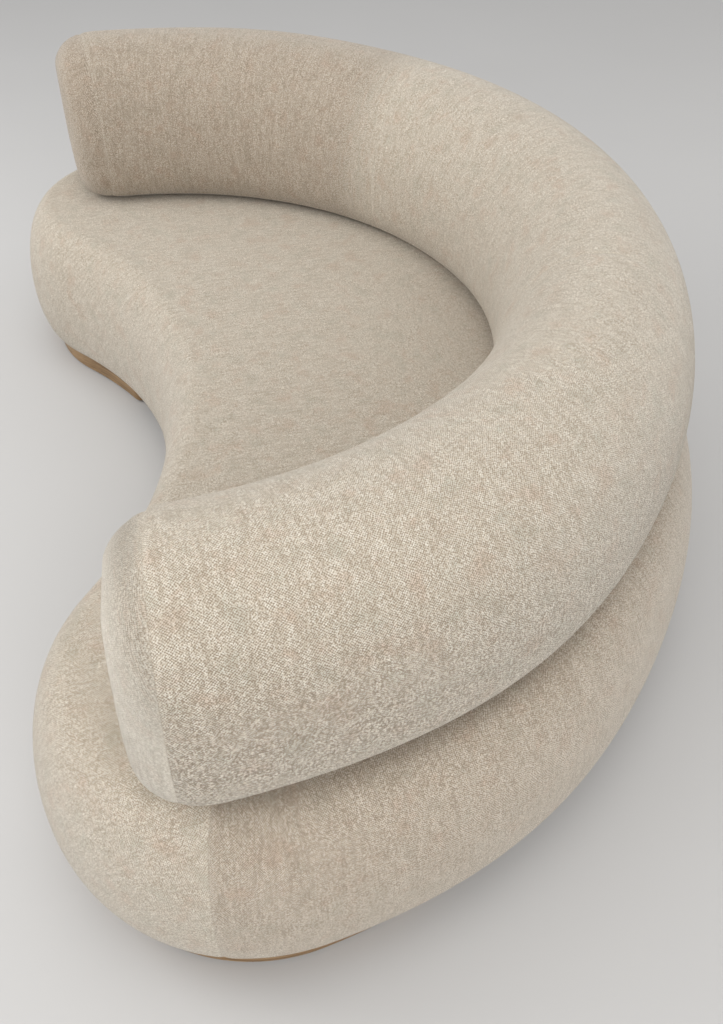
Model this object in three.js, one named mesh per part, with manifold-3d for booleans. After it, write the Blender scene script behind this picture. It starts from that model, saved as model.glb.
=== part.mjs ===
// Curved sofa: a kidney-shaped seat body on three low drum feet, carrying a thick C-shaped bolster
// that is its back and both arms. Millimetres, +Z up. The origin lies on the floor, under the
// middle of the sofa's length and depth; +X runs along the sofa and +Y points to its back.
import * as THREE from 'three';
import { mergeVertices } from 'three/addons/utils/BufferGeometryUtils.js';
import Module from 'manifold-3d';

const wasm = await Module();
wasm.setup();

// ---------------------------------------------------------------- driving dimensions

const GAP = 0.3; // clearance between pieces that rest on or lie against each other

// Seat body
const SEAT_TOP = 400; // floor to the flat of the seat
const UNDERSIDE = 57; // floor to the underside of the seat body
const BULGE_HEIGHT = 185; // floor to the widest line of the seat's side
const SEAT_RADIUS = 1180; // outline: arc round the back and both ends
const LOBE_RADIUS = 360; // outline: round front corner at each end
const LOBE_ANGLE = 8; // degrees above the X axis where the back arc runs into a lobe
const FRONT_RADIUS = 935; // outline: hollow arc along the front
const SEAT_TOP_ROUND = 88; // width of the rounding from the side to the flat top
const SEAT_UNDER_ROUND = 38; // width of the rounding from the side to the underside
const SEAT_ROUND_POWER = 2; // 2 is an ellipse, more is squarer
const TIGHTEST_CORNER = 20; // smallest corner of an outline that is moved far inwards

// Bolster
const BACK_TOP = 780; // floor to the top of the bolster
const BACK_LEDGE = 64; // seat outline to the outside of the bolster, in plan
const BACK_HALF_WIDTH = 184; // half of its thickness at the widest line
const BACK_WIDEST = 115; // height of its widest line above the seat
const BACK_TOP_POWER = 2.05; // roundness above the widest line
const BACK_LOW_POWER = 2.6; // roundness below it
const BACK_SEAT_HALF_WIDTH = 115; // half of the strip that stands on the seat
const BACK_CROWN_HALF_WIDTH = 14; // half of the strip along the very top
const ARM_ANGLE = 4; // degrees that each arm runs on past the X axis
const ARM_END_ROUND = 92; // rounding of an arm's end, in plan and over its top
const CORNER_SHARE = 0.85; // largest corner of an end, as a share of its half width

// Upholstery
const COVER_THICKNESS = 3;
const COVER_LIP = 60; // how far the seat cover is pulled in under the base panel
const BACK_COVER_LIP = 30; // how far the back cover is pulled in under the back plate
const DUST_COVER_THICKNESS = 1.2;
const BACK_TOP_FOAM = 60; // foam over the top rail
const ARM_END_FOAM = 60; // foam on the end of each arm

// Seat frame
const PLYWOOD = 18;
const FRAME_INSET = 75; // seat outline to the edge of the frame
const DECK_TOP = 300; // floor to the top of the deck ring
const APRON_THICKNESS = 6;
const APRON_SETBACK = 3; // base panel edge to the apron's face
const END_BAY = 345; // end of the frame to the outer cross rails
const MIDDLE_BAY_SHARE = 0.4; // inner cross rails, as a share of the way to the outer ones
const LONG_RAIL_SETBACK = 295; // hollow of the front, inside the apron, to the long rails
const WEBBING_COUNT = 8;
const WEBBING_END_BAY = 102; // end of the deck ring's opening to the last strap
const WEBBING_WIDTH = 60;
const WEBBING_THICKNESS = 2;
const WEBBING_BEARING = 40; // length of each strap's end on the deck ring
const WEBBING_TO_RISER = 12; // clearance from a strap's end to the risers

// Back frame
const BACK_FRAME_HALF_WIDTH = 90;
const BACK_SKIN_THICKNESS = 3;
const FORMER_COUNT = 7;
const BOLTED_BAYS = [0, 2, 3, 5]; // bays between formers that hold a bolt

// Back fixing
const RISER_LENGTH = 90;
const RISER_WIDTH = 60;
const RISER_CLEARANCE = 0.6;
const BOLT_RADIUS = 4.9;
const BOLT_HOLE_RADIUS = 5.5;
const BOLT_HEAD_RADIUS = 9;
const BOLT_HEAD_HEIGHT = 6;
const TEE_NUT_BARREL_RADIUS = 6.6;
const TEE_NUT_BARREL_LENGTH = 12;
const TEE_NUT_FLANGE_RADIUS = 13;
const TEE_NUT_FLANGE_THICKNESS = 1.6;
const BOLT_PAST_NUT = 3; // bolt end standing out of the tee nut

// Feet
const FOOT_RADIUS = 365;
const FOOT_REVEAL = 42; // seat outline to the edge of a foot
const FRONT_FOOT_ASIDE = 770; // middle of the sofa to the centre of a front foot
const FRONT_FOOT_BACK = 120; // centre of the back arc to the centre of a front foot
const FOOT_EDGE_ROUND = 4;
const GLIDE_THICKNESS = 4;
const GLIDE_SETBACK = 10; // foot edge to the felt
const SCREW_SPREAD = 150; // foot centre to each screw
const SCREW_RADIUS = 3.8;
const SCREW_HOLE_RADIUS = 4.3;
const SCREW_HEAD_RADIUS = 9;
const SCREW_HEAD_HEIGHT = 5;
const SCREW_RECESS_RADIUS = 10;
const SCREW_GRIP = 20; // wood between a screw's head and the top of the foot
const SCREW_SHORT_OF_DECK = 3; // screw tip below the upper face of the base panel

// Facets
const BACK_ARC_STEPS = 22;
const LOBE_STEPS = 8;
const FRONT_STEPS = 8;
const BOLSTER_STEPS = 22;
const CORNER_STEPS = 3;
const ROUND_STEPS = 12;
const FOOT_STEPS = 32;
const SEAT_LOW_TURNS = [90, 45, 0]; // degrees round each section where a ring is drawn
const SEAT_HIGH_TURNS = [22, 42, 64, 90];
const BACK_LOW_SHARES = [1, 0.62, 0]; // shares of the turn from the seat to the widest line
const BACK_HIGH_TURNS = [24, 44, 60, 76];
const CUT_MARGIN = 1; // how far a cutting tool stands out past the face that it cuts

// ---------------------------------------------------------------- worked-out places

const DEGREE = Math.PI / 180;
const LOBE_CENTRE = polar(SEAT_RADIUS - LOBE_RADIUS, LOBE_ANGLE * DEGREE);
const FRONT_Y = LOBE_CENTRE.y - Math.sqrt((FRONT_RADIUS + LOBE_RADIUS) ** 2 - LOBE_CENTRE.x ** 2);

const PANEL_BOTTOM = UNDERSIDE + COVER_THICKNESS + GAP;
const PANEL_TOP = PANEL_BOTTOM + PLYWOOD;
const DECK_BOTTOM = DECK_TOP - PLYWOOD;
const WEBBING_BOTTOM = DECK_TOP + GAP;
const FOAM_DECK = WEBBING_BOTTOM + WEBBING_THICKNESS + GAP;
const RISER_BOTTOM = DECK_TOP + GAP;
const RISER_TOP = SEAT_TOP - COVER_THICKNESS - GAP;
const APRON_INSET = FRAME_INSET + APRON_SETBACK;
const RAIL_INSET = APRON_INSET + APRON_THICKNESS + GAP;
const RAIL_BOTTOM = PANEL_TOP + GAP;
const RAIL_TOP = DECK_BOTTOM - GAP;
const OUTER_RAIL = SEAT_RADIUS - FRAME_INSET - END_BAY;
const INNER_RAIL = OUTER_RAIL * MIDDLE_BAY_SHARE;
const BEARING_INSET = BACK_LEDGE + BACK_HALF_WIDTH + RISER_WIDTH / 2 + WEBBING_TO_RISER;
const OPENING_INSET = BEARING_INSET + WEBBING_BEARING;

const BACK_RADIUS = SEAT_RADIUS - BACK_LEDGE - BACK_HALF_WIDTH;
const BACK_BOTTOM = SEAT_TOP + GAP;
const BACK_PLATE_BOTTOM = BACK_BOTTOM + COVER_THICKNESS + GAP;
const BACK_PLATE_TOP = BACK_PLATE_BOTTOM + PLYWOOD;
const TOP_RAIL_TOP = BACK_TOP - COVER_THICKNESS - GAP - BACK_TOP_FOAM;
const TOP_RAIL_BOTTOM = TOP_RAIL_TOP - PLYWOOD;
const BACK_START = -ARM_ANGLE * DEGREE;
const BACK_LENGTH = (Math.PI - 2 * BACK_START) * BACK_RADIUS;
const BACK_FRAME_SIDE = BACK_HALF_WIDTH - BACK_FRAME_HALF_WIDTH;
const BACK_FRAME_END = COVER_THICKNESS + GAP + ARM_END_FOAM;

const FIRST_FORMER = BACK_FRAME_END + CORNER_SHARE * BACK_FRAME_HALF_WIDTH + PLYWOOD;
const FORMER_START = BACK_START + FIRST_FORMER / BACK_RADIUS;
const FORMER_STEP = (Math.PI - 2 * FORMER_START) / (FORMER_COUNT - 1);
const FORMER_ANGLES = Array.from(
  { length: FORMER_COUNT },
  (_, i) => FORMER_START + i * FORMER_STEP,
);
const BOLT_ANGLES = BOLTED_BAYS.map((bay) => FORMER_ANGLES[bay] + FORMER_STEP / 2);

const FOOT_TOP = UNDERSIDE - GAP;
const FOOT_BOTTOM = GLIDE_THICKNESS + GAP;
const SCREW_SEAT = FOOT_TOP - SCREW_GRIP;
const FOOT_CENTRES = [
  new THREE.Vector2(FRONT_FOOT_ASIDE, FRONT_FOOT_BACK),
  new THREE.Vector2(0, SEAT_RADIUS - FOOT_REVEAL - FOOT_RADIUS),
  new THREE.Vector2(-FRONT_FOOT_ASIDE, FRONT_FOOT_BACK),
];

// ---------------------------------------------------------------- materials

/** Standard material with a plain colour and finish. */
function finish(color, roughness, metalness = 0) {
  return new THREE.MeshStandardMaterial({ color, roughness, metalness });
}

const BOUCLE = finish(0xc9bca7, 0.95);
const OAK = finish(0x8f6c4a, 0.5);
const BIRCH_PLY = finish(0xd2b184, 0.7);
const BEECH = finish(0xc79a6b, 0.65);
const FOAM = finish(0xe8dfc4, 0.9);
const WEBBING = finish(0x3b3a38, 0.85);
const LINING = finish(0x2b2b2c, 0.9);
const FELT = finish(0x6f675d, 0.95);
const STEEL = finish(0xb9bcc0, 0.35, 1);

// ---------------------------------------------------------------- outlines in plan

/** Plan point at a radius and an angle round the plan centre. */
function polar(radius, angle) {
  return new THREE.Vector2(radius * Math.cos(angle), radius * Math.sin(angle));
}

/** Points along an arc, without its last one. */
function arc(centreX, centreY, radius, from, to, steps) {
  return Array.from({ length: steps }, (_, i) => {
    const angle = from + ((to - from) * i) / steps;
    return new THREE.Vector2(centreX + radius * Math.cos(angle), centreY + radius * Math.sin(angle));
  });
}

/** Full circle, anticlockwise. */
function circle(centre, radius, steps = ROUND_STEPS) {
  return arc(centre.x, centre.y, radius, 0, 2 * Math.PI, steps);
}

/** Centre of the lobe of a radius that touches the back arc and the front arc, both moved inwards. */
function lobeCentre(lobe, inset) {
  const toBack = SEAT_RADIUS - inset - lobe;
  const toFront = FRONT_RADIUS + inset + lobe;
  const y = (toBack ** 2 - toFront ** 2 + FRONT_Y ** 2) / (2 * FRONT_Y);
  return new THREE.Vector2(Math.sqrt(toBack ** 2 - y ** 2), y);
}

/** Kidney outline of the seat body, moved inwards by an inset; four arcs that run into each other. */
function seatOutline(inset) {
  const lobe = Math.max(LOBE_RADIUS - inset, TIGHTEST_CORNER);
  const { x, y } = lobeCentre(lobe, inset);
  const backJoin = Math.atan2(y, x);
  const frontJoin = Math.atan2(FRONT_Y - y, x);
  return [
    ...arc(0, 0, SEAT_RADIUS - inset, backJoin, Math.PI - backJoin, BACK_ARC_STEPS),
    ...arc(-x, y, lobe, Math.PI - backJoin, 2 * Math.PI + frontJoin, LOBE_STEPS),
    ...arc(0, FRONT_Y, FRONT_RADIUS + inset, Math.PI + frontJoin, -frontJoin, FRONT_STEPS),
    ...arc(x, y, lobe, -Math.PI - frontJoin, backJoin, LOBE_STEPS),
  ];
}

/** Front and back of the faceted seat outline, moved inwards, where it crosses a line of constant x. */
function seatSpan(x, inset) {
  const outline = seatOutline(inset);
  const crossings = [];
  outline.forEach((from, i) => {
    const to = outline[(i + 1) % outline.length];
    if ((from.x - x) * (to.x - x) <= 0 && from.x !== to.x) {
      crossings.push(from.y + ((to.y - from.y) * (x - from.x)) / (to.x - from.x));
    }
  });
  return { front: Math.min(...crossings), back: Math.max(...crossings) };
}

/** C-shaped outline of the bolster, moved inwards at its sides and at its two ends. */
function backOutline(side, end) {
  const half = BACK_HALF_WIDTH - side;
  const corner = Math.min(ARM_END_ROUND, CORNER_SHARE * half);
  const near = end + corner;
  const far = BACK_LENGTH - near;
  const place = (along, across) => polar(BACK_RADIUS + across, BACK_START + along / BACK_RADIUS);
  const run = (from, to, across) => Array.from({ length: BOLSTER_STEPS }, (_, i) => (
    place(from + ((to - from) * i) / BOLSTER_STEPS, across)
  ));
  const turn = (along, across, from) => Array.from({ length: CORNER_STEPS }, (_, i) => {
    const angle = from - ((Math.PI / 2) * i) / CORNER_STEPS;
    return place(along + corner * Math.cos(angle), across + corner * Math.sin(angle));
  });
  return [
    ...run(near, far, half),
    ...turn(far, half - corner, Math.PI / 2),
    ...turn(far, corner - half, 0),
    ...run(far, near, -half),
    ...turn(near, corner - half, -Math.PI / 2),
    ...turn(near, half - corner, Math.PI),
  ];
}

// ---------------------------------------------------------------- sections

/** One point of a superellipse quarter: share run in and share risen at a turn of 0 to 90 degrees. */
function roundOver(degrees, power) {
  return {
    inwards: 1 - Math.cos(degrees * DEGREE) ** (2 / power),
    rise: Math.sin(degrees * DEGREE) ** (2 / power),
  };
}

/** Side of the seat body from its underside to its top, at a depth below the surface. */
function seatRings(depth) {
  const low = SEAT_LOW_TURNS.map((degrees) => {
    const { inwards, rise } = roundOver(degrees, SEAT_ROUND_POWER);
    const drop = BULGE_HEIGHT - UNDERSIDE - depth;
    return ring(seatOutline(depth + SEAT_UNDER_ROUND * inwards), BULGE_HEIGHT - drop * rise);
  });
  const high = SEAT_HIGH_TURNS.map((degrees) => {
    const { inwards, rise } = roundOver(degrees, SEAT_ROUND_POWER);
    const climb = SEAT_TOP - depth - BULGE_HEIGHT;
    return ring(seatOutline(depth + SEAT_TOP_ROUND * inwards), BULGE_HEIGHT + climb * rise);
  });
  return [...low, ...high];
}

/** How far an arm's end has drawn back at a height, rounded over towards the bolster's top. */
function endDraw(height, top) {
  const above = Math.max(0, height - (top - ARM_END_ROUND));
  return ARM_END_ROUND - Math.sqrt(Math.max(0, ARM_END_ROUND ** 2 - above ** 2));
}

/** Side of the bolster from the seat to its top, at a depth below the surface. */
function backRings(depth) {
  const widest = SEAT_TOP + BACK_WIDEST;
  const top = BACK_TOP - depth;
  const foot = BACK_HALF_WIDTH - BACK_SEAT_HALF_WIDTH;
  const start = Math.acos((BACK_SEAT_HALF_WIDTH / BACK_HALF_WIDTH) ** (BACK_LOW_POWER / 2)) / DEGREE;
  const low = BACK_LOW_SHARES.map((share) => {
    const { inwards, rise } = roundOver(start * share, BACK_LOW_POWER);
    const side = depth + BACK_HALF_WIDTH * inwards;
    return ring(backOutline(side, depth + (BACK_HALF_WIDTH * inwards) / 2), widest - BACK_WIDEST * rise);
  });
  const high = BACK_HIGH_TURNS.map((degrees) => {
    const { inwards, rise } = roundOver(degrees, BACK_TOP_POWER);
    const height = widest + (top - widest) * rise;
    return ring(backOutline(depth + BACK_HALF_WIDTH * inwards, depth + endDraw(height, top)), height);
  });
  return [
    ring(backOutline(depth + foot, depth + foot / 2), BACK_BOTTOM + depth),
    ...low,
    ...high,
    ring(backOutline(BACK_HALF_WIDTH - BACK_CROWN_HALF_WIDTH, depth + ARM_END_ROUND), top),
  ];
}

// ---------------------------------------------------------------- solids

/** A plan outline lifted to a height. */
function ring(outline, height) {
  return outline.map((point) => new THREE.Vector3(point.x, point.y, height));
}

/** Triangles of a flat outline. */
function flatFaces(points) {
  return THREE.ShapeUtils.triangulateShape(points.map((p) => new THREE.Vector2(p.x, p.y)), []);
}

/**
 * Closed solid through rings of equal count: capped at both ends, or joined up on itself. Each
 * facet pair is split from its lower ring's corner, so nested surfaces stay parallel.
 */
function loft(rings, joined = false) {
  const count = rings[0].length;
  const faces = [];
  const spans = joined ? rings.length : rings.length - 1;
  for (let r = 0; r < spans; r += 1) {
    const low = r * count;
    const high = ((r + 1) % rings.length) * count;
    const rising = rings[r][0].z <= rings[(r + 1) % rings.length][0].z;
    for (let i = 0; i < count; i += 1) {
      const next = (i + 1) % count;
      if (rising) {
        faces.push(low + i, low + next, high + next);
        faces.push(low + i, high + next, high + i);
      } else {
        faces.push(low + i, low + next, high + i);
        faces.push(low + next, high + next, high + i);
      }
    }
  }
  if (!joined) {
    const top = (rings.length - 1) * count;
    flatFaces(rings[0]).forEach(([a, b, c]) => faces.push(a, c, b));
    flatFaces(rings.at(-1)).forEach(([a, b, c]) => faces.push(top + a, top + b, top + c));
  }
  const geometry = new THREE.BufferGeometry();
  geometry.setAttribute(
    'position',
    new THREE.Float32BufferAttribute(rings.flat().flatMap((p) => [p.x, p.y, p.z]), 3),
  );
  geometry.setIndex(faces);
  return geometry;
}

/** Flat board of an outline, with holes, from one height up to another. */
function board(outline, holes, bottom, top) {
  const shape = new THREE.Shape(outline);
  shape.holes = holes.map((hole) => new THREE.Path(hole));
  const geometry = new THREE.ExtrudeGeometry(shape, { depth: top - bottom, bevelEnabled: false });
  return geometry.translate(0, 0, bottom);
}

/** Upright band that follows an outline: outer and inner inset, bottom and top. */
function band(outlineAt, outer, inner, bottom, top) {
  return loft(
    [
      ring(outlineAt(outer), bottom),
      ring(outlineAt(outer), top),
      ring(outlineAt(inner), top),
      ring(outlineAt(inner), bottom),
    ],
    true,
  );
}

/** Round solid from a list of radius and height pairs, capped or joined up on itself. */
function turned(profile, steps = ROUND_STEPS, joined = false) {
  const centre = new THREE.Vector2(0, 0);
  return loft(profile.map(([radius, height]) => ring(circle(centre, radius, steps), height)), joined);
}

/** Block of a length, width and height, standing on a height. */
function block(length, width, bottom, top) {
  return new THREE.BoxGeometry(length, width, top - bottom).translate(0, 0, (bottom + top) / 2);
}

/** Manifold solid of a closed geometry. */
function toSolid(geometry) {
  const bare = geometry.clone();
  bare.deleteAttribute('normal');
  bare.deleteAttribute('uv');
  const merged = mergeVertices(bare, 1e-4);
  return new wasm.Manifold(new wasm.Mesh({
    numProp: 3,
    vertProperties: Float32Array.from(merged.getAttribute('position').array),
    triVerts: Uint32Array.from(merged.getIndex().array),
  }));
}

/** Geometry of a manifold solid. */
function fromSolid(solid) {
  const mesh = solid.getMesh();
  const result = new THREE.BufferGeometry();
  result.setAttribute('position', new THREE.Float32BufferAttribute(mesh.vertProperties, 3));
  result.setIndex(new THREE.Uint32BufferAttribute(mesh.triVerts, 1));
  return result;
}

/** A geometry with the space of others cut out of it. */
function cut(geometry, tools) {
  return fromSolid(tools.reduce((body, tool) => body.subtract(toSolid(tool)), toSolid(geometry)));
}

/** Upright round tool that cuts a hole at a plan point. */
function drill(point, radius, bottom, top) {
  return turned([[radius, bottom], [radius, top]]).translate(point.x, point.y, 0);
}

// ---------------------------------------------------------------- assembly

const sofa = new THREE.Group();

/** Adds a named piece, placed at a plan point and turned about the vertical. */
function add(name, geometry, material, point = new THREE.Vector2(0, 0), turn = 0) {
  const mesh = new THREE.Mesh(geometry, material);
  mesh.name = name;
  mesh.position.set(point.x, point.y, 0);
  mesh.rotation.z = turn;
  sofa.add(mesh);
}

const boltPoints = BOLT_ANGLES.map((angle) => polar(BACK_RADIUS, angle));
const screwPoints = FOOT_CENTRES.flatMap((centre) => [-SCREW_SPREAD, SCREW_SPREAD].map(
  (shift) => new THREE.Vector2(centre.x + shift, centre.y),
));
const screwHoles = () => screwPoints.map((point) => circle(point, SCREW_HOLE_RADIUS));
const boltHoles = (radius) => boltPoints.map((point) => circle(point, radius));

/** Distance from a point to the first crossing of a closed outline, in a direction. */
function reach(outline, from, way) {
  const lengths = outline.map((start, i) => {
    const side = outline[(i + 1) % outline.length].clone().sub(start);
    const offset = start.clone().sub(from);
    const across = way.cross(side);
    const share = offset.cross(way) / across;
    const along = offset.cross(side) / across;
    return share >= 0 && share <= 1 && along > 0 ? along : Infinity;
  });
  return Math.min(...lengths);
}

/** Outline of a foot about its own centre: a disc that never passes the seat's outline. */
function footOutline(centre, inset) {
  const limit = seatOutline(FOOT_REVEAL + inset);
  return circle(new THREE.Vector2(0, 0), 1, FOOT_STEPS).map((way) => {
    const length = Math.min(FOOT_RADIUS - inset, reach(limit, centre, way));
    return way.clone().multiplyScalar(length);
  });
}

/** Round wooden foot about its own centre, with its lower edge eased and two screw recesses. */
function footBody(centre, holes) {
  const body = loft([
    ring(footOutline(centre, FOOT_EDGE_ROUND), FOOT_BOTTOM),
    ring(footOutline(centre, 0), FOOT_BOTTOM + FOOT_EDGE_ROUND),
    ring(footOutline(centre, 0), FOOT_TOP),
  ]);
  return cut(body, holes);
}

/** Felt disc under a foot, about the foot's centre. */
function glideBody(centre) {
  const outline = footOutline(centre, GLIDE_SETBACK);
  return loft([ring(outline, 0), ring(outline, GLIDE_THICKNESS)]);
}

/** Feet, their felt glides and the screws that hold them to the base panel. */
function addFeet() {
  const holes = [-SCREW_SPREAD, SCREW_SPREAD].map((shift) => turned([
    [SCREW_RECESS_RADIUS, FOOT_BOTTOM - CUT_MARGIN],
    [SCREW_RECESS_RADIUS, SCREW_SEAT],
    [SCREW_HOLE_RADIUS, SCREW_SEAT],
    [SCREW_HOLE_RADIUS, FOOT_TOP + CUT_MARGIN],
  ]).translate(shift, 0, 0));
  const headTop = SCREW_SEAT - GAP;
  const screw = turned([
    [SCREW_HEAD_RADIUS, headTop - SCREW_HEAD_HEIGHT],
    [SCREW_HEAD_RADIUS, headTop],
    [SCREW_RADIUS, headTop],
    [SCREW_RADIUS, PANEL_TOP - SCREW_SHORT_OF_DECK],
  ]);
  ['right', 'back', 'left'].forEach((side, i) => {
    const centre = FOOT_CENTRES[i];
    add(`foot_${side}`, footBody(centre, holes), OAK, centre);
    add(`foot_glide_${side}`, glideBody(centre), FELT, centre);
    add(`foot_screw_${side}_1`, screw, STEEL, screwPoints[2 * i]);
    add(`foot_screw_${side}_2`, screw, STEEL, screwPoints[2 * i + 1]);
  });
}

/** Plywood frame of the seat: panel, apron, rails and deck ring. */
function addSeatFrame() {
  add('base_panel', board(seatOutline(FRAME_INSET), screwHoles(), PANEL_BOTTOM, PANEL_TOP), BIRCH_PLY);
  add(
    'apron',
    band(seatOutline, APRON_INSET, APRON_INSET + APRON_THICKNESS, PANEL_TOP + GAP, DECK_BOTTOM - GAP),
    BIRCH_PLY,
  );
  const opening = seatOutline(OPENING_INSET).reverse();
  add(
    'deck_ring',
    board(seatOutline(FRAME_INSET), [opening, ...boltHoles(BOLT_HOLE_RADIUS)], DECK_BOTTOM, DECK_TOP),
    BIRCH_PLY,
  );
  const railPlaces = [-OUTER_RAIL, -INNER_RAIL, INNER_RAIL, OUTER_RAIL];
  railPlaces.forEach((x, i) => {
    const faces = [x - PLYWOOD / 2, x + PLYWOOD / 2].map((face) => seatSpan(face, RAIL_INSET));
    const front = Math.max(...faces.map((face) => face.front));
    const back = Math.min(...faces.map((face) => face.back));
    const middle = new THREE.Vector2(x, (front + back) / 2);
    add(`cross_rail_${i + 1}`, block(PLYWOOD, back - front, RAIL_BOTTOM, RAIL_TOP), BIRCH_PLY, middle);
  });
  const depth = seatSpan(0, RAIL_INSET).front + LONG_RAIL_SETBACK;
  railPlaces.slice(1).forEach((x, i) => {
    const length = x - railPlaces[i] - PLYWOOD - 2 * GAP;
    const middle = new THREE.Vector2((x + railPlaces[i]) / 2, depth);
    add(`long_rail_${i + 1}`, block(length, PLYWOOD, RAIL_BOTTOM, RAIL_TOP), BIRCH_PLY, middle);
  });
}

/** Elastic straps across the deck ring's opening; their ends are trimmed to its curve. */
function addWebbing() {
  const sheet = toSolid(
    board(seatOutline(BEARING_INSET), [], WEBBING_BOTTOM, WEBBING_BOTTOM + WEBBING_THICKNESS),
  );
  const last = Math.max(...seatOutline(OPENING_INSET).map((point) => point.x)) - WEBBING_END_BAY;
  const pitch = (2 * last) / (WEBBING_COUNT - 1);
  for (let i = 0; i < WEBBING_COUNT; i += 1) {
    const strip = block(WEBBING_WIDTH, 2 * SEAT_RADIUS, WEBBING_BOTTOM - CUT_MARGIN, FOAM_DECK + CUT_MARGIN);
    const strap = sheet.intersect(toSolid(strip.translate(i * pitch - last, 0, 0)));
    add(`webbing_${i + 1}`, fromSolid(strap), WEBBING);
  }
}

/** Foam, fabric cover and lining of the seat. */
function addSeatUpholstery() {
  const pocket = FRAME_INSET - GAP;
  const foamBody = loft([
    ring(seatOutline(pocket), FOAM_DECK),
    ring(seatOutline(pocket), PANEL_BOTTOM),
    ...seatRings(COVER_THICKNESS + GAP),
  ]);
  const wells = BOLT_ANGLES.map((angle, i) => {
    const length = RISER_LENGTH + 2 * RISER_CLEARANCE;
    const width = RISER_WIDTH + 2 * RISER_CLEARANCE;
    const well = block(length, width, FOAM_DECK - CUT_MARGIN, SEAT_TOP + CUT_MARGIN);
    return well.rotateZ(angle + Math.PI / 2).translate(boltPoints[i].x, boltPoints[i].y, 0);
  });
  add('seat_foam', cut(foamBody, wells), FOAM);

  const lipEdge = SEAT_UNDER_ROUND + COVER_LIP;
  const coverBody = loft([
    ...seatRings(COVER_THICKNESS).reverse(),
    ring(seatOutline(lipEdge), UNDERSIDE + COVER_THICKNESS),
    ring(seatOutline(lipEdge), UNDERSIDE),
    ...seatRings(0),
  ]);
  const coverHoles = boltPoints.map((point) => (
    drill(point, BOLT_HOLE_RADIUS, SEAT_TOP - COVER_THICKNESS - CUT_MARGIN, SEAT_TOP + CUT_MARGIN)
  ));
  add('seat_cover', cut(coverBody, coverHoles), BOUCLE);

  const lining = board(
    seatOutline(lipEdge + GAP),
    screwHoles(),
    PANEL_BOTTOM - GAP - DUST_COVER_THICKNESS,
    PANEL_BOTTOM - GAP,
  );
  add('dust_cover', lining, LINING);
}

/** Plywood frame of the bolster: plate, formers, bent skin and top rail. */
function addBackFrame() {
  const outlineAt = (depth) => backOutline(BACK_FRAME_SIDE + depth, BACK_FRAME_END + depth);
  const plateHoles = boltHoles(TEE_NUT_BARREL_RADIUS + GAP);
  add('back_plate', board(outlineAt(0), plateHoles, BACK_PLATE_BOTTOM, BACK_PLATE_TOP), BIRCH_PLY);
  add('back_top_rail', board(outlineAt(0), [], TOP_RAIL_BOTTOM, TOP_RAIL_TOP), BIRCH_PLY);
  const skin = band(outlineAt, 0, BACK_SKIN_THICKNESS, BACK_PLATE_TOP + GAP, TOP_RAIL_BOTTOM - GAP);
  add('back_skin', skin, BIRCH_PLY);
  const formerWidth = 2 * (BACK_FRAME_HALF_WIDTH - BACK_SKIN_THICKNESS - GAP - chordLoss());
  const former = block(formerWidth, PLYWOOD, BACK_PLATE_TOP + GAP, TOP_RAIL_BOTTOM - GAP);
  FORMER_ANGLES.forEach((angle, i) => {
    add(`back_former_${i + 1}`, former, BIRCH_PLY, polar(BACK_RADIUS, angle), angle);
  });
}

/** How far the flat facets of the bolster's outer arc lie inside the true arc. */
function chordLoss() {
  const step = BACK_LENGTH / BACK_RADIUS / BOLSTER_STEPS;
  return (BACK_RADIUS + BACK_HALF_WIDTH) * (1 - Math.cos(step / 2));
}

/** Foam and fabric cover of the bolster. */
function addBackUpholstery() {
  const pocketAt = (height) => (
    ring(backOutline(BACK_FRAME_SIDE - GAP, BACK_FRAME_END - GAP), height)
  );
  const foam = loft([
    pocketAt(TOP_RAIL_TOP + GAP),
    pocketAt(BACK_PLATE_BOTTOM),
    ...backRings(COVER_THICKNESS + GAP),
  ]);
  add('back_foam', foam, FOAM);
  const foot = BACK_HALF_WIDTH - BACK_SEAT_HALF_WIDTH;
  const lipAt = (height) => (
    ring(backOutline(foot + BACK_COVER_LIP, foot / 2 + BACK_COVER_LIP), height)
  );
  const cover = loft([
    ...backRings(COVER_THICKNESS).reverse(),
    lipAt(BACK_BOTTOM + COVER_THICKNESS),
    lipAt(BACK_BOTTOM),
    ...backRings(0),
  ]);
  add('back_cover', cover, BOUCLE);
}

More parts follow.
